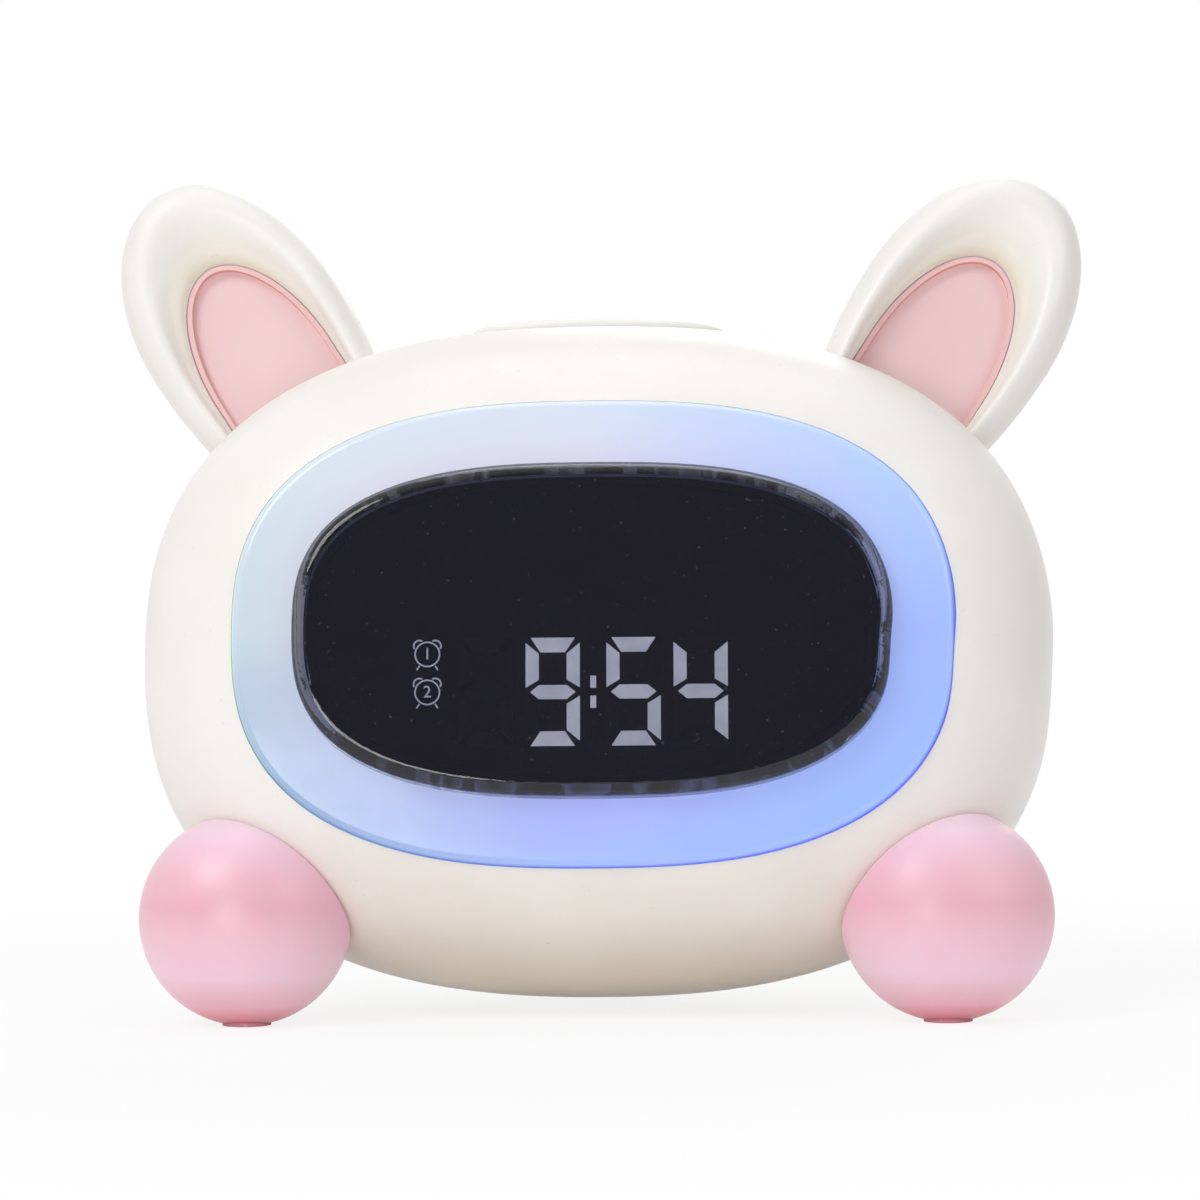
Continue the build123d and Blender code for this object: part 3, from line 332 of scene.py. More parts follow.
def ringPlastic():
    look = ringLook
    material, tree, shader, place = startMaterial("ringDiffuser")
    axes = uprightAxes(tree, place, (-1000, 0))
    across = addNode(tree, "Math", (-600, 100), {"operation": "DIVIDE"}, {1: look["halfWidth"]})
    rise = addNode(tree, "Math", (-600, -100), {"operation": "DIVIDE"}, {1: look["halfHeight"]})
    turn = addNode(tree, "Math", (-400, 200), {"operation": "ARCTAN2"})
    share = addNode(tree, "MapRange", (-200, 200), values={"From Min": -math.pi, "From Max": math.pi})
    colors = addRamp(tree, (0, 300), screenStops(look["stops"]))
    edgeTint = addRamp(tree, (0, 0), screenStops(look["edgeTints"]))
    reach = addNode(tree, "Math", (0, -300), {"operation": "ADD"})
    for entry, source in enumerate((across, rise)):
        size = addNode(tree, "Math", (-400, -200), {"operation": "ABSOLUTE"})
        raised = addNode(tree, "Math", (-200, -200), {"operation": "POWER"}, {1: look["power"]})
        wire(tree, [(source, 0, size, 0), (size, 0, raised, 0), (raised, 0, reach, entry)])
    drift = addRamp(tree, (200, 0), screenStops(look["drift"]))
    edge = addNode(tree, "MapRange", (200, -300), {"interpolation_type": "SMOOTHSTEP"},
                   {"From Min": look["edgeStart"]})
    marks = placeGroup(tree, handling, (-400, -500), place, {"Smear Size": look["smear"]})
    drifted = mixTones(tree, (300, 300), 1.0, colors.outputs["Color"], drift.outputs["Color"], "MULTIPLY")
    tint = mixTones(tree, (400, 200), edge.outputs["Result"], drifted, edgeTint.outputs["Color"])
    body = mixTones(tree, (400, 400), 1.0, tint, (look["body"],) * 3 + (1,), "MULTIPLY")
    wire(tree, [
        (axes, "X", across, 0), (axes, "Z", rise, 0), (rise, 0, turn, 0), (across, 0, turn, 1),
        (turn, 0, share, "Value"), (share, "Result", colors, "Fac"), (share, "Result", edgeTint, "Fac"),
        (reach, 0, edge, "Value"), (reach, 0, drift, "Fac"),
    ])
    tree.links.new(body, shader.inputs["Base Color"])
    tree.links.new(tint, shader.inputs["Emission Color"])
    driveGloss(tree, shader, marks, "Smear", (200, -500), look["gloss"])
    setValues(shader, {"Emission Strength": look["light"]})
    return material


dressNodes(ringPlastic(), ["light_ring"], ringLook["crease"])
print("ring dressed")


# smoked lens
lensLook = {
    # the haze and dust are emission colours: a painted glow on the lens and on its specks
    "smoke": (0.30, 0.30, 0.34, 1.0), "paintedHazeGlow": (0.0030, 0.0027, 0.0060, 1.0),
    "dust": (0.035, 0.035, 0.045, 1.0), "gloss": (0.015, 0.05), "smear": 30.0, "speck": 1500.0,
    "speckLimit": 0.735, "crease": 28,
}


def smokedPlastic():
    look = lensLook
    material, tree, shader, place = startMaterial("smokedLens")
    marks = placeGroup(tree, handling, (-700, 0), place,
                       {"Smear Size": look["smear"], "Speck Size": look["speck"],
                        "Speck Limit": look["speckLimit"]})
    # painted glow: a faint bluish haze over the lens, brighter on dust specks
    dust = mixTones(tree, (0, 200), marks.outputs["Speck"], look["paintedHazeGlow"], look["dust"])
    tree.links.new(dust, shader.inputs["Emission Color"])
    driveGloss(tree, shader, marks, "Smear", (-300, -100), look["gloss"])
    setValues(shader, {"Base Color": look["smoke"], "Emission Strength": 1.0, "Transmission Weight": 1.0,
                       "IOR": 1.49})
    return material


dressNodes(smokedPlastic(), ["display_lens"], lensLook["crease"])
print("lens dressed")


# display
blackLook = {
    "color": (0.006, 0.006, 0.010, 1), "shade": (0.009, 0.009, 0.014, 1), "dust": (0.02, 0.02, 0.024, 1),
    "grain": 2600.0, "ripple": 80.0, "smear": 60.0, "speckLimit": 0.78, "gloss": (0.6, 0.75), "depth": 0.03,
}
dressNodes(mouldedPlastic("displayBlack", blackLook), ["display_frame", "display_module"])

segmentLook = {
    "lit": screenColor(218, 220, 227), "litShade": screenColor(198, 202, 214), "strength": 1.45,
    "dark": (0.010, 0.010, 0.014, 1), "darkShade": (0.016, 0.016, 0.02, 1), "gloss": 0.35, "patch": 220.0,
    "patchFrom": 0.35, "patchTo": 0.65,
}


def segmentPlastic(name, color, shade, strength):
    look = segmentLook
    material, tree, shader, place = startMaterial(name)
    patches = addNode(tree, "TexNoise", (-700, 0), values={"Scale": look["patch"], "Detail": 2.0})
    spread = addNode(tree, "MapRange", (-400, 0),
                     values={"From Min": look["patchFrom"], "From Max": look["patchTo"]})
    wire(tree, [(place, "Object", patches, "Vector"), (patches, "Fac", spread, "Value")])
    tone = mixTones(tree, (0, 0), spread.outputs["Result"], color, shade)
    tree.links.new(tone, shader.inputs["Base Color"])
    if strength:
        tree.links.new(tone, shader.inputs["Emission Color"])
    setValues(shader, {"Emission Strength": strength, "Roughness": look["gloss"]})
    return material


litWindow = segmentPlastic("litWindow", segmentLook["lit"], segmentLook["litShade"], segmentLook["strength"])
darkWindow = segmentPlastic("darkWindow", segmentLook["dark"], segmentLook["darkShade"], 0)
dressNodes(litWindow, ["lit_segments"])
dressNodes(darkWindow, ["dark_segments"])
print("display dressed")


# pink feet and ear trays
footLook = {
    "color": screenColor(255, 255, 255), "shade": screenColor(252, 251, 252),
    "dust": screenColor(248, 246, 247), "rise": 0.0405,
    # painted light: the tints give the feet their pink along with a red shaded bottom edge, a floor-lit lower
    # part, a darker middle and a highlight near the top
    "paintedLightTints": [(0.0, (226, 110, 122)), (0.03, (240, 142, 154)), (0.08, (254, 194, 208)),
              (0.20, (255, 213, 227)), (0.34, (252, 201, 216)), (0.47, (245, 184, 200)),
              (0.59, (248, 192, 208)), (0.72, (254, 211, 226)), (0.86, (255, 228, 240)),
              (1.0, (254, 216, 230))],
    "grain": 2400.0, "ripple": 70.0, "smear": 50.0, "speckLimit": 0.80, "gloss": (0.34, 0.44), "depth": 0.05,
    "glow": 0.3, "glowRadius": (1.0, 0.35, 0.4), "glowDepth": 0.005, "coat": 0.12, "coatGloss": 0.3,
}
dressNodes(mouldedPlastic("footPink", footLook), ["left_foot", "right_foot"])

trayLook = {
    "color": screenColor(239, 210, 212), "shade": screenColor(236, 205, 208),
    # painted shade: the salmon wall tone stands in for the deeper, bounce-coloured shade on the tray's inner
    # wall
    "wall": screenColor(238, 158, 152), "wallStart": 0.0046, "wallEnd": 0.0064, "grain": 3000.0,
    "gloss": (0.5, 0.62), "depth": 0.12,
    # how much of the painted wall shade shows, from the front of the rim to the floor of the tray
    "wallShare": [(0.0, 0.3), (0.16, 0.4), (0.26, 1), (0.74, 1), (0.92, 0.1), (1.0, 0)],
}


def trayPlastic():
    look = trayLook
    material, tree, shader, place = startMaterial("trayPink")
    axes = uprightAxes(tree, place, (-1000, 200))
    depth = addNode(tree, "MapRange", (-600, 200),
                    values={"From Min": look["wallStart"], "From Max": look["wallEnd"]})
    raised = addRamp(tree, (-400, 200), [(at, (share, share, share, 1)) for at, share in look["wallShare"]])
    wire(tree, [(axes, "Y", depth, "Value"), (depth, "Result", raised, "Fac")])
    grain = placeGroup(tree, mouldGrain, (-600, -200), place, {"Grain": look["grain"]})
    marks = placeGroup(tree, handling, (-600, -500), place)
    tone = mixTones(tree, (-300, 0), grain.outputs["Tone"], look["color"], look["shade"])
    # painted shade on the tray's wall
    tone = mixTones(tree, (0, 100), raised.outputs["Color"], tone, look["wall"])
    tree.links.new(tone, shader.inputs["Base Color"])
    driveGloss(tree, shader, marks, "Smear", (-200, -500), look["gloss"])
    addRelief(tree, shader, grain, "Height", (0, -200), look["depth"])
    return material


dressNodes(trayPlastic(), ["left_ear_insert", "right_ear_insert"])
print("pink pieces dressed")


# keys, pads, foam and the plain pieces inside
keyLook = {**shellLook, "color": screenColor(232, 230, 226), "shade": screenColor(227, 224, 219),
           "gloss": (0.28, 0.4)}
dressNodes(mouldedPlastic("keyWhite", keyLook), ["time_key", "alarm_key", "up_key", "down_key"])

rubberLook = {
    "color": screenColor(176, 168, 170), "shade": screenColor(164, 156, 158),
    "dust": screenColor(205, 200, 198), "grain": 1800.0, "ripple": 150.0, "smear": 80.0, "speckLimit": 0.70,
    "gloss": (0.7, 0.85), "depth": 0.5,
}
padLook = {**rubberLook, "color": screenColor(238, 176, 190), "shade": screenColor(228, 162, 178),
           "dust": screenColor(242, 206, 214)}
dressNodes(mouldedPlastic("padPink", padLook), ["left_foot_pad", "right_foot_pad"])
dressNodes(mouldedPlastic("rubberGrey", rubberLook), ["rear_foot_pad"])

foamLook = {
    "color": (0.02, 0.02, 0.02, 1), "shade": (0.035, 0.035, 0.035, 1), "dust": (0.08, 0.08, 0.08, 1),
    "grain": 1200.0, "ripple": 400.0, "smear": 120.0, "speckLimit": 0.72, "gloss": (0.85, 0.95), "depth": 0.9,
}
dressNodes(mouldedPlastic("foamBlack", foamLook), ["lens_tape", "battery_tape", "speaker_gasket"])

innerLook = {**shellLook, "color": screenColor(236, 236, 232), "shade": screenColor(230, 230, 226)}
dressNodes(mouldedPlastic("innerWhite", innerLook), ["light_reflector", "snooze_bracket"])

partsLook = {**blackLook, "color": (0.020, 0.020, 0.022, 1), "shade": (0.028, 0.028, 0.030, 1)}
dressNodes(mouldedPlastic("partsBlack", partsLook), [
    "board_parts", "key_switches", "snooze_switch", "snooze_plunger", "socket_tongue", "speaker_cone",
    "speaker_frame", "speaker_magnet", "time_key_plunger", "alarm_key_plunger", "up_key_plunger",
    "down_key_plunger"])

lampLook = {**shellLook, "color": screenColor(250, 240, 190), "shade": screenColor(246, 230, 160)}
dressNodes(mouldedPlastic("lampCream", lampLook), ["ring_leds"])

wireLook = {**rubberLook, "color": (0.42, 0.02, 0.02, 1), "shade": (0.32, 0.015, 0.015, 1),
            "gloss": (0.4, 0.5)}
dressNodes(mouldedPlastic("wireRed", wireLook), ["speaker_leads", "battery_leads"])

ribbonLook = {**wireLook, "color": screenColor(222, 222, 220), "shade": screenColor(205, 205, 205)}
dressNodes(mouldedPlastic("ribbonGrey", ribbonLook), ["key_ribbon"])
print("plain pieces dressed")


# boards
boardLook = {
    "mask": (0.012, 0.12, 0.045, 1), "copper": (0.02, 0.20, 0.075, 1), "pad": (0.4, 0.33, 0.16, 1),
    "trace": 420.0, "traceWide": 0.06, "via": 260.0, "viaFrom": 0.16, "viaTo": 0.12, "gloss": 0.3,
    "depth": 0.3,
}


def boardMask():
    look = boardLook
    material, tree, shader, place = startMaterial("boardGreen")
    traces = addNode(tree, "TexBrick", (-700, 200), values={
        "Scale": look["trace"], "Mortar Size": look["traceWide"], "Color1": look["mask"],
        "Color2": look["mask"], "Mortar": look["copper"]})
    vias = addNode(tree, "TexVoronoi", (-700, -100), values={"Scale": look["via"]})
    dots = addNode(tree, "MapRange", (-400, -100),
                   values={"From Min": look["viaFrom"], "From Max": look["viaTo"]})
    wire(tree, [(place, "Object", traces, "Vector"), (place, "Object", vias, "Vector"),
                (vias, "Distance", dots, "Value")])
    tone = mixTones(tree, (0, 100), dots.outputs["Result"], traces.outputs["Color"], look["pad"])
    tree.links.new(tone, shader.inputs["Base Color"])
    addRelief(tree, shader, traces, "Fac", (200, -200), look["depth"])
    setValues(shader, {"Roughness": look["gloss"]})
    return material


dressNodes(boardMask(), ["main_board", "key_board"])


# metal
steelLook = {"color": (0.60, 0.60, 0.62, 1), "shade": (0.48, 0.48, 0.50, 1), "gloss": (0.22, 0.38),
             "grain": 1500.0, "ripple": 200.0, "depth": 0.15, "reach": 0.00005}
foilLook = {**steelLook, "color": (0.70, 0.71, 0.74, 1), "shade": (0.58, 0.59, 0.62, 1),
            "gloss": (0.30, 0.45), "grain": 300.0}


def platedMetal(name, look):
    material, tree, shader, place = startMaterial(name)
    grain = placeGroup(tree, mouldGrain, (-700, 100), place,
                       {"Grain": look["grain"], "Ripple": look["ripple"]})
    tone = mixTones(tree, (-200, 200), grain.outputs["Tone"], look["color"], look["shade"])
    tree.links.new(tone, shader.inputs["Base Color"])
    driveGloss(tree, shader, grain, "Tone", (-200, -100), look["gloss"])
    addRelief(tree, shader, grain, "Height", (200, -300), look["depth"], look["reach"])
    setValues(shader, {"Metallic": 1.0})
    return material


platedSteel = platedMetal("platedSteel", steelLook)
dressNodes(platedSteel, ["main_screws", "case_screws", "bracket_screws", "key_screws", "ear_screws",
                         "foot_screws", "charging_socket"])
dressNodes(platedMetal("cellFoil", foilLook), ["battery_cell"])
print("inner pieces dressed")


# modelling helpers
def selectOnly(pieces):
    bpy.ops.object.select_all(action="DESELECT")
    for piece in pieces:
        piece.select_set(True)
    bpy.context.view_layer.objects.active = pieces[0]


def freeze(piece):
    # the piece's place goes into its mesh
    selectOnly([piece])
    bpy.ops.object.transform_apply(location=True, rotation=True, scale=True)


def joinPieces(pieces, name):
    selectOnly(pieces)
    if len(pieces) > 1:
        bpy.ops.object.join()
    pieces[0].name = name
    pieces[0].data.name = name
    return pieces[0]


def openMesh():
    bpy.ops.object.mode_set(mode="EDIT")
    bpy.ops.mesh.select_all(action="SELECT")


# flat marks, made in their own plane
markLook = {"ringSteps": 64, "lineSteps": 8, "arcSteps": 14, "softShare": 0.3}


def flatRing(radius, line, thick):
    bpy.ops.mesh.primitive_torus_add(major_radius=radius, minor_radius=line / 2,
                                     major_segments=markLook["ringSteps"],
                                     minor_segments=markLook["lineSteps"])
    ring = bpy.context.object
    ring.scale = (1, 1, thick / line)
    freeze(ring)
    return ring


def flatDisc(radius, thick, height, sides, turn=0):
    bpy.ops.mesh.primitive_cylinder_add(vertices=sides, radius=radius, depth=thick, location=(0, height, 0),
                                        rotation=(0, 0, math.radians(turn)))
    disc = bpy.context.object
    freeze(disc)
    return disc


def strokeBar(long, line, thick, at, turn):
    bpy.ops.mesh.primitive_cube_add(size=1, location=(at[0], at[1], 0), rotation=(0, 0, math.radians(turn)))
    bar = bpy.context.object
    bar.scale = (long, line, thick)
    freeze(bar)
    openMesh()
    bpy.ops.mesh.bevel(offset=min(line, thick) * markLook["softShare"], segments=2)
    bpy.ops.object.mode_set(mode="OBJECT")
    return bar


def arcBar(radius, line, thick, at, start, span):
    # a flat bar bent round a centre, from one angle on
    bpy.ops.mesh.primitive_plane_add(size=1, location=(radius, 0, 0), rotation=(math.radians(90), 0, 0))
    bar = bpy.context.object
    bar.scale = (line, thick, 1)
    freeze(bar)
    openMesh()
    bpy.ops.mesh.spin(steps=markLook["arcSteps"], angle=math.radians(-span), center=(0, 0, 0),
                      axis=(0, 0, 1))
    bpy.ops.mesh.select_all(action="SELECT")
    bpy.ops.mesh.remove_doubles(threshold=line * 0.01)
    bpy.ops.mesh.select_all(action="SELECT")
    bpy.ops.mesh.fill_holes(sides=4)
    bpy.ops.mesh.select_all(action="SELECT")
    bpy.ops.mesh.normals_make_consistent(inside=False)
    bpy.ops.object.mode_set(mode="OBJECT")
    middle = sum((v.co for v in bar.data.vertices), Vector()) / len(bar.data.vertices)
    turned = math.radians(start + span / 2) - math.atan2(middle.y, middle.x)
    bar.data.transform(Matrix.Translation((at[0], at[1], 0)) @ Matrix.Rotation(turned, 4, "Z"))
    return bar


def numeralMesh(text, size, thick):
    bpy.ops.object.text_add()
    words = bpy.context.object
    words.data.body = text
    words.data.size = size
    words.data.align_x = "CENTER"
    words.data.align_y = "CENTER"
    words.data.extrude = thick / 2
    selectOnly([words])
    bpy.ops.object.convert(target="MESH")
    return bpy.context.object


def settleMark(mark, material, place, ridesOn):
    # from its own plane to its place on the clock
    mark.data.transform(leaned @ place)
    giveMaterial(mark, material)
    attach(mark, ridesOn)


# alarm icons behind the lens
iconLook = {
    "x": -0.0252, "heights": (-0.0038, -0.0097), "face": -0.03286, "thick": 0.00012, "dial": 0.00188,
    "line": 0.00024, "bell": 0.00088, "bellAt": (0.00122, 0.00128), "bellSpan": 150, "bellTurn": 45,
    "legLong": 0.0008, "legAt": (0.00142, -0.00212), "legTurn": 58, "numeral": 0.0026,
    "color": screenColor(188, 192, 202), "shade": screenColor(176, 180, 192), "strength": 1.7,
}
iconLight = segmentPlastic("iconLight", iconLook["color"], iconLook["shade"], iconLook["strength"])


def alarmIcon(name, numeral, height):
    # a small alarm clock in outline with a plain numeral, flat on the display's face
    look = iconLook
    line, thick = look["line"], look["thick"]
    shapes = [flatRing(look["dial"], line, thick)]
    for side in (-1, 1):
        bellAt = (side * look["bellAt"][0], look["bellAt"][1])
        start = 90 - side * look["bellTurn"] - look["bellSpan"] / 2
        shapes.append(arcBar(look["bell"], line, thick, bellAt, start, look["bellSpan"]))
        legAt = (side * look["legAt"][0], look["legAt"][1])
        shapes.append(strokeBar(look["legLong"], line, thick, legAt, -side * look["legTurn"]))
    shapes.append(numeralMesh(numeral, look["numeral"], thick))
    icon = joinPieces(shapes, name)
    place = Matrix.Translation((look["x"], look["face"], height))
    settleMark(icon, iconLight, place @ Matrix.Rotation(math.radians(90), 4, "X"), "case")


for number, height in enumerate(iconLook["heights"], start=1):
    alarmIcon("alarm_icon_" + str(number), str(number), height)
print("alarm icons modelled")


# symbols on the keys
symbolLook = {
    "face": 0.03232, "height": -0.0095, "pitch": 0.015, "thick": 0.00008, "line": 0.00032, "dial": 0.00145,
    # each hand's length and middle in dial radii, and its turn
    "hands": [(0.8, (0, 0.3), 90), (0.6, (0.22, 0), 0)],
    # the bell's shapes in bell radii
    "bell": 0.0009, "domeAt": 0.35, "skirtWide": 2.0, "skirtTall": 1.3, "skirtAt": -0.35, "brimWide": 3.0,
    "brimAt": -1.1, "clapperAt": -1.6, "domeSides": 40, "clapperSides": 24,
    "arrow": 0.0014, "arrowSoft": 0.6,
}
printLook = {**rubberLook, "color": screenColor(128, 124, 128), "shade": screenColor(118, 114, 118),
             "depth": 0.05}
printGrey = mouldedPlastic("printGrey", printLook)


def clockSymbol():
    look = symbolLook
    dial, line, thick = look["dial"], look["line"], look["thick"]
    shapes = [flatRing(dial, line, thick)]
    for long, (x, y), turn in look["hands"]:
        shapes.append(strokeBar(dial * long, line, thick, (dial * x, dial * y), turn))
    return shapes


def bellSymbol():
    look = symbolLook
    bell, line, thick = look["bell"], look["line"], look["thick"]
    return [
        flatDisc(bell, thick, bell * look["domeAt"], look["domeSides"]),
        strokeBar(bell * look["skirtWide"], bell * look["skirtTall"], thick, (0, bell * look["skirtAt"]), 0),
        strokeBar(bell * look["brimWide"], line, thick, (0, bell * look["brimAt"]), 0),
        flatDisc(line, thick, bell * look["clapperAt"], look["clapperSides"]),
    ]


def arrowSymbol(turn):
    look = symbolLook
    arrow = flatDisc(look["arrow"], look["thick"], 0, 3, turn)
    for edge in arrow.data.edges:
        ends = [arrow.data.vertices[v].co for v in edge.vertices]
        edge.select = abs(ends[0].z - ends[1].z) > look["thick"] / 2
    bpy.ops.object.mode_set(mode="EDIT")
    bpy.ops.mesh.select_mode(type="EDGE")
    bpy.ops.mesh.bevel(offset=look["line"] * look["arrowSoft"], segments=3)
    bpy.ops.object.mode_set(mode="OBJECT")
    return [arrow]


def keySymbol(key, column, shapes):
    mark = joinPieces(shapes, key + "_symbol")
    across = symbolLook["pitch"] * (1.5 - column)
    place = Matrix.Translation((across, symbolLook["face"], symbolLook["height"]))
    facingBack = Matrix.Rotation(math.radians(180), 4, "Z") @ Matrix.Rotation(math.radians(90), 4, "X")
    settleMark(mark, printGrey, place @ facingBack, key + "_body")


keySymbol("time_key", 0, clockSymbol())
keySymbol("alarm_key", 1, bellSymbol())
keySymbol("up_key", 2, arrowSymbol(0))
keySymbol("down_key", 3, arrowSymbol(180))
print("key symbols modelled")


# springs under the press bar
springLook = {"coil": 0.0019, "wire": 0.0003, "turns": 3.5, "apart": 0.014, "gap": 0.00005, "kept": 0.835,
              "wireSides": 12, "windSteps": 56, "crease": 40}


def windCoil(tall, side):
    look = springLook
    bpy.ops.mesh.primitive_circle_add(vertices=look["wireSides"], radius=look["wire"],
                                      location=(look["coil"], 0, -tall / 2),
                                      rotation=(math.radians(90), 0, 0))
    coil = bpy.context.object
    freeze(coil)
    wind = coil.modifiers.new("wind", "SCREW")
    wind.angle = math.radians(180 * look["turns"])
    wind.iterations = 2
    wind.screw_offset = tall / 2
    wind.steps = look["windSteps"]
    wind.render_steps = look["windSteps"]
    bpy.ops.object.modifier_apply(modifier="wind")
    openMesh()
    bpy.ops.mesh.remove_doubles(threshold=0.000001)
    bpy.ops.mesh.fill_holes(sides=0)
    bpy.ops.mesh.normals_make_consistent(inside=False)
    bpy.ops.object.mode_set(mode="OBJECT")
    bpy.ops.object.shade_smooth_by_angle(angle=math.radians(look["crease"]))
    coil.location.x = side * look["apart"]
    freeze(coil)
    return coil


def snoozeSprings():
    # two coils, as tall as the CAD springs they stand in for
    look = springLook
    upright = [leaned.inverted() @ corner.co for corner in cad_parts["snooze_springs"].data.vertices]
    bottom = min(corner.z for corner in upright)
    top = max(corner.z for corner in upright)
    tall = top - bottom - 2 * look["wire"]
    springs = joinPieces([windCoil(tall, side) for side in (-1, 1)], "snooze_spring_pair")
    springs.data.transform(leaned @ Matrix.Translation((0, 0, (top + bottom) / 2)))
    giveMaterial(springs, platedSteel)
    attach(springs, "case")
    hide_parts("snooze_springs")
    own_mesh(springs)


snoozeSprings()
print("springs wound")


# case screws
screwLook = {
    "places": [(-0.0635, 0.001), (0.0635, 0.001), (-0.034, -0.040), (0.034, -0.040)],
    "turns": [12, 67, 140, 31], "floor": 0.005, "radius": 0.0024, "height": 0.0016, "shank": 0.0013,
    "shankLong": 0.0137, "slotWide": 0.0006, "slotLong": 0.0027, "slotDeep": 0.0009, "edge": 0.0004,
    "sides": 48, "crease": 30,
}


def panHead():
    # a pan-head screw with a cross recess, standing on its seat at the origin
    look = screwLook
    bpy.ops.mesh.primitive_cylinder_add(vertices=look["sides"], radius=look["radius"], depth=look["height"],
                                        location=(0, 0, look["height"] / 2))
    screw = bpy.context.object
    freeze(screw)
    for edge in screw.data.edges:
        edge.select = all(screw.data.vertices[v].co.z > look["height"] * 0.9 for v in edge.vertices)
    bpy.ops.object.mode_set(mode="EDIT")
    bpy.ops.mesh.select_mode(type="EDGE")
    bpy.ops.mesh.bevel(offset=look["edge"], segments=4)
    bpy.ops.mesh.select_all(action="DESELECT")
    bpy.ops.object.mode_set(mode="OBJECT")
    for face in screw.data.polygons:
        face.select = face.normal.z < -0.9
    bpy.ops.object.mode_set(mode="EDIT")
    bpy.ops.mesh.select_mode(type="FACE")
    bpy.ops.mesh.inset(thickness=look["radius"] - look["shank"], depth=0)
    bpy.ops.mesh.extrude_region_move(TRANSFORM_OT_translate={"value": (0, 0, -look["shankLong"])})
    bpy.ops.object.mode_set(mode="OBJECT")
    for turn in (0, 90):
        bpy.ops.mesh.primitive_cube_add(size=1, location=(0, 0, look["height"]),
                                        rotation=(0, 0, math.radians(turn)))
        cutter = bpy.context.object
        cutter.scale = (look["slotLong"], look["slotWide"], look["slotDeep"] * 2)
        freeze(cutter)
        selectOnly([screw])
        recess = screw.modifiers.new("recess", "BOOLEAN")
        recess.operation = "DIFFERENCE"
        recess.object = cutter
        bpy.ops.object.modifier_apply(modifier="recess")
        bpy.data.objects.remove(cutter, do_unlink=True)
    return screw


def caseScrews():
    look = screwLook
    screws = [panHead()]
    for _ in look["places"][1:]:
        twin = screws[0].copy()
        twin.data = screws[0].data.copy()
        bpy.context.scene.collection.objects.link(twin)
        screws.append(twin)
    for screw, (x, z), turn in zip(screws, look["places"], look["turns"]):
        place = Matrix.Translation((x, look["floor"], z)) @ Matrix.Rotation(math.radians(-90), 4, "X")
        screw.data.transform(leaned @ place @ Matrix.Rotation(math.radians(turn), 4, "Z"))
    whole = joinPieces(screws, "case_screw_set")
    giveMaterial(whole, platedSteel)
    selectOnly([whole])
    bpy.ops.object.shade_smooth_by_angle(angle=math.radians(look["crease"]))
    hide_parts("case_screws")
    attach(whole, "case")


caseScrews()
print("case screws modelled")


# lights, floor and world
studio = {
    "world": 0.39, "front": 0.16, "frontFrom": -0.95, "frontTo": -0.35, "aim": (0.0, 0.0, 0.06),
    "floorSize": 6.0, "floorTone": 0.93, "floorShow": 0.84, "shadowNear": 0.10, "shadowFar": 0.26,
    "lamps": [
        {"name": "keyLamp", "at": (-0.75, -0.95, 1.05), "size": 0.75, "watts": 8.2},
        {"name": "fillLamp", "at": (0.95, -0.9, 0.7), "size": 0.8, "watts": 2.7},
        {"name": "lowLamp", "at": (-0.35, -1.25, 0.1), "size": 0.5, "watts": 3.9},
        {"name": "topLamp", "at": (0.0, 0.15, 1.3), "size": 0.8, "watts": 3.4},
        {"name": "rearLamp", "at": (0.3, 1.2, 0.8), "size": 0.8, "watts": 4.0},
    ],
}


def addLamp(setting):
    data = bpy.data.lights.new(setting["name"], "AREA")
    data.shape = "DISK"
    data.size = setting["size"]
    data.energy = setting["watts"]
    lamp = bpy.data.objects.new(setting["name"], data)
    bpy.context.scene.collection.objects.link(lamp)
    lamp.location = setting["at"]
    lamp.rotation_euler = (Vector(studio["aim"]) - lamp.location).to_track_quat("-Z", "Y").to_euler()


def addFloor():
    # it shows white, but for the shadow close to the clock
    bpy.ops.mesh.primitive_plane_add(size=studio["floorSize"], location=(0, 0, 0))
    floor = bpy.context.object
    floor.name = "floor"
    material = bpy.data.materials.new("floorWhite")
    material.use_nodes = True
    tree = material.node_tree
    tree.nodes.clear()
    output = addNode(tree, "OutputMaterial", (600, 0))
    paper = addNode(tree, "BsdfDiffuse", (0, 100), values={"Color": (studio["floorTone"],) * 3 + (1,)})
    seen = addNode(tree, "Emission", (0, -100), values={"Strength": 1.0})
    place = addNode(tree, "TexCoord", (-1000, 0))
    away = addNode(tree, "VectorMath", (-800, 0), {"operation": "LENGTH"})
    fade = addNode(tree, "MapRange", (-600, 0), {"interpolation_type": "SMOOTHSTEP"},
                   {"From Min": studio["shadowNear"], "From Max": studio["shadowFar"],
                    "To Min": studio["floorShow"]})
    path = addNode(tree, "LightPath", (-600, 300))
    mirror = addNode(tree, "Math", (-400, 300), {"operation": "MAXIMUM"})
    direct = addNode(tree, "Math", (-200, 300), {"operation": "MAXIMUM"})
    share = addNode(tree, "Math", (0, 300), {"operation": "MULTIPLY"})
    mix = addNode(tree, "MixShader", (300, 0))
    wire(tree, [
        (place, "Object", away, 0), (away, "Value", fade, "Value"), (path, "Is Glossy Ray", mirror, 0),
        (path, "Is Transmission Ray", mirror, 1), (path, "Is Camera Ray", direct, 0), (mirror, 0, direct, 1),
        (direct, 0, share, 0), (fade, "Result", share, 1), (share, 0, mix, 0), (paper, 0, mix, 1),
        (seen, 0, mix, 2), (mix, 0, output, "Surface"),
    ])
    floor.data.materials.append(material)


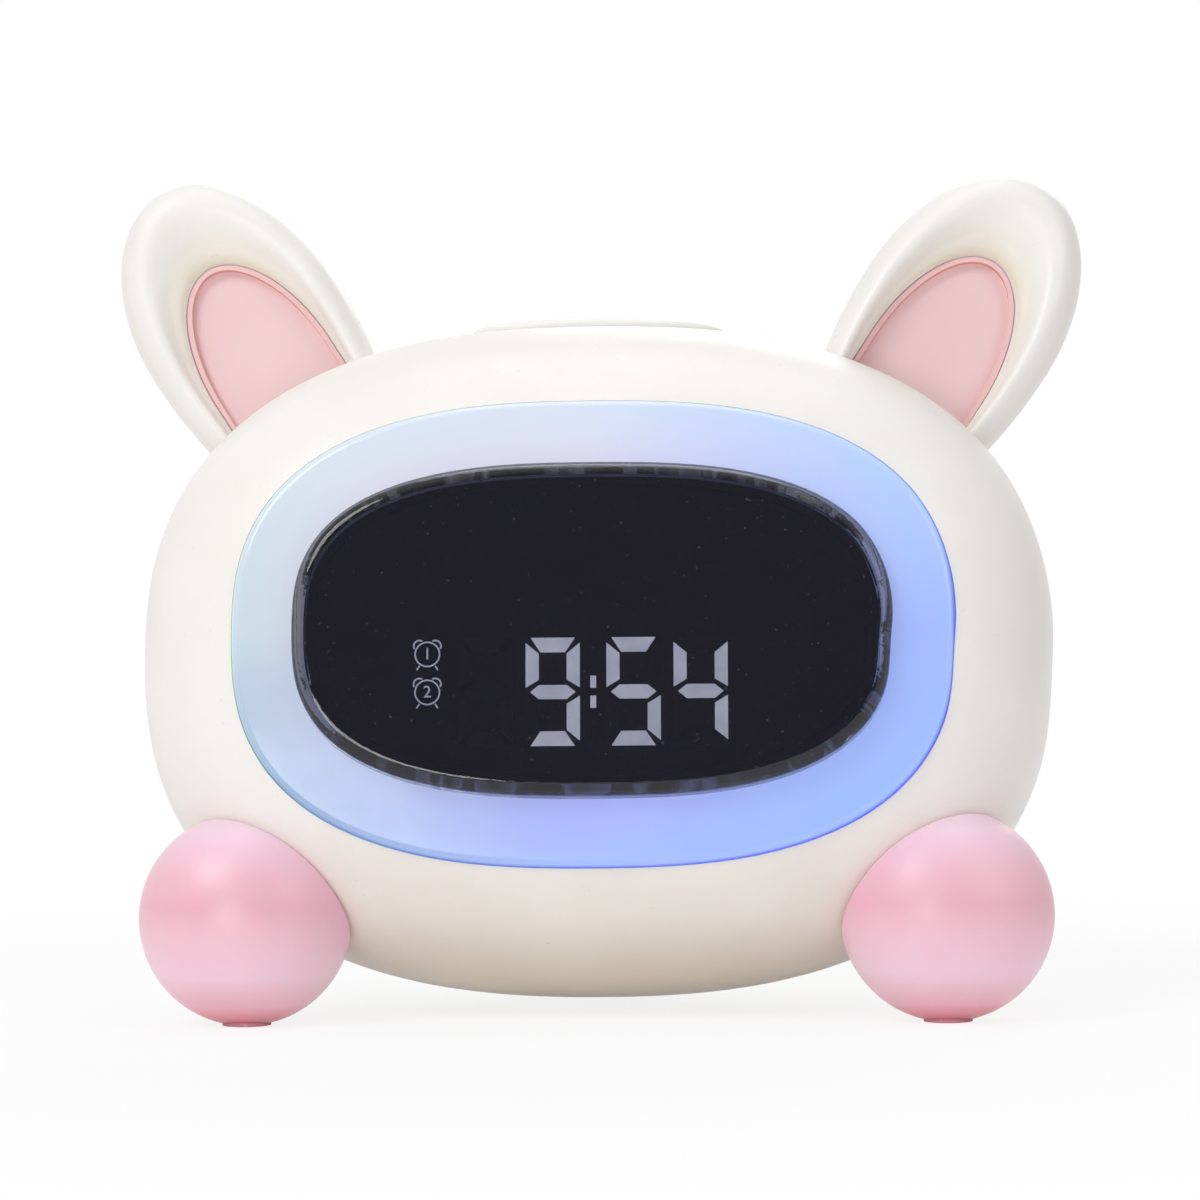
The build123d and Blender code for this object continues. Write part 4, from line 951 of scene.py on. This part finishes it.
def buildWorld():
    # soft light, dimmer from the front, behind a white background
    world = bpy.data.worlds.new("studioWorld")
    bpy.context.scene.world = world
    world.use_nodes = True
    tree = world.node_tree
    tree.nodes.clear()
    output = addNode(tree, "OutputWorld", (600, 0))
    soft = addNode(tree, "Background", (0, 100), values={"Strength": 1.0})
    white = addNode(tree, "Background", (0, -100), values={"Strength": 1.0, "Color": (1, 1, 1, 1)})
    place = addNode(tree, "TexCoord", (-900, 0))
    axes = addNode(tree, "SeparateXYZ", (-700, 0))
    aside = addNode(tree, "MapRange", (-500, 200), {"interpolation_type": "SMOOTHSTEP"},
                    {"From Min": studio["frontFrom"], "From Max": studio["frontTo"]})
    shade = addNode(tree, "MapRange", (-300, 0),
                    values={"To Min": studio["front"], "To Max": studio["world"]})
    path = addNode(tree, "LightPath", (-700, 500))
    mirror = addNode(tree, "Math", (-400, 500), {"operation": "MAXIMUM"})
    beside = addNode(tree, "Math", (-200, 400), {"operation": "MULTIPLY"})
    direct = addNode(tree, "Math", (0, 400), {"operation": "MAXIMUM"})
    mix = addNode(tree, "MixShader", (300, 0))
    wire(tree, [
        (place, "Generated", axes, "Vector"), (axes, "Y", aside, "Value"), (aside, "Result", shade, "Value"),
        (shade, "Result", soft, "Color"), (path, "Is Glossy Ray", mirror, 0),
        (path, "Is Transmission Ray", mirror, 1), (mirror, 0, beside, 0), (aside, "Result", beside, 1),
        (path, "Is Camera Ray", direct, 0), (beside, 0, direct, 1), (direct, 0, mix, 0), (soft, 0, mix, 1),
        (white, 0, mix, 2), (mix, 0, output, "Surface"),
    ])


for setting in studio["lamps"]:
    addLamp(setting)
addFloor()
buildWorld()
print("studio lit")


# camera, turned and lifted from straight in front by degrees
shot = {"target": (0.0002, 0.0016, 0.0651), "azimuth": 2.1, "elevation": 1.2, "distance": 0.8, "roll": 0.55,
        "lens": 149.8, "sensor": 36.0, "clip": 0.01}


def addCamera():
    data = bpy.data.cameras.new("shotCamera")
    data.lens = shot["lens"]
    data.sensor_width = shot["sensor"]
    data.clip_start = shot["clip"]
    camera = bpy.data.objects.new("shotCamera", data)
    bpy.context.scene.collection.objects.link(camera)
    side = math.radians(shot["azimuth"])
    lift = math.radians(shot["elevation"])
    away = Vector((math.sin(side) * math.cos(lift), -math.cos(side) * math.cos(lift), math.sin(lift)))
    target = Vector(shot["target"])
    place = target + away * shot["distance"]
    facing = (target - place).to_track_quat("-Z", "Y").to_matrix().to_4x4()
    roll = Matrix.Rotation(math.radians(-shot["roll"]), 4, "Z")
    camera.matrix_world = Matrix.Translation(place) @ facing @ roll
    bpy.context.scene.camera = camera


addCamera()
bpy.context.scene.view_settings.view_transform = "Standard"

print("scene ready")
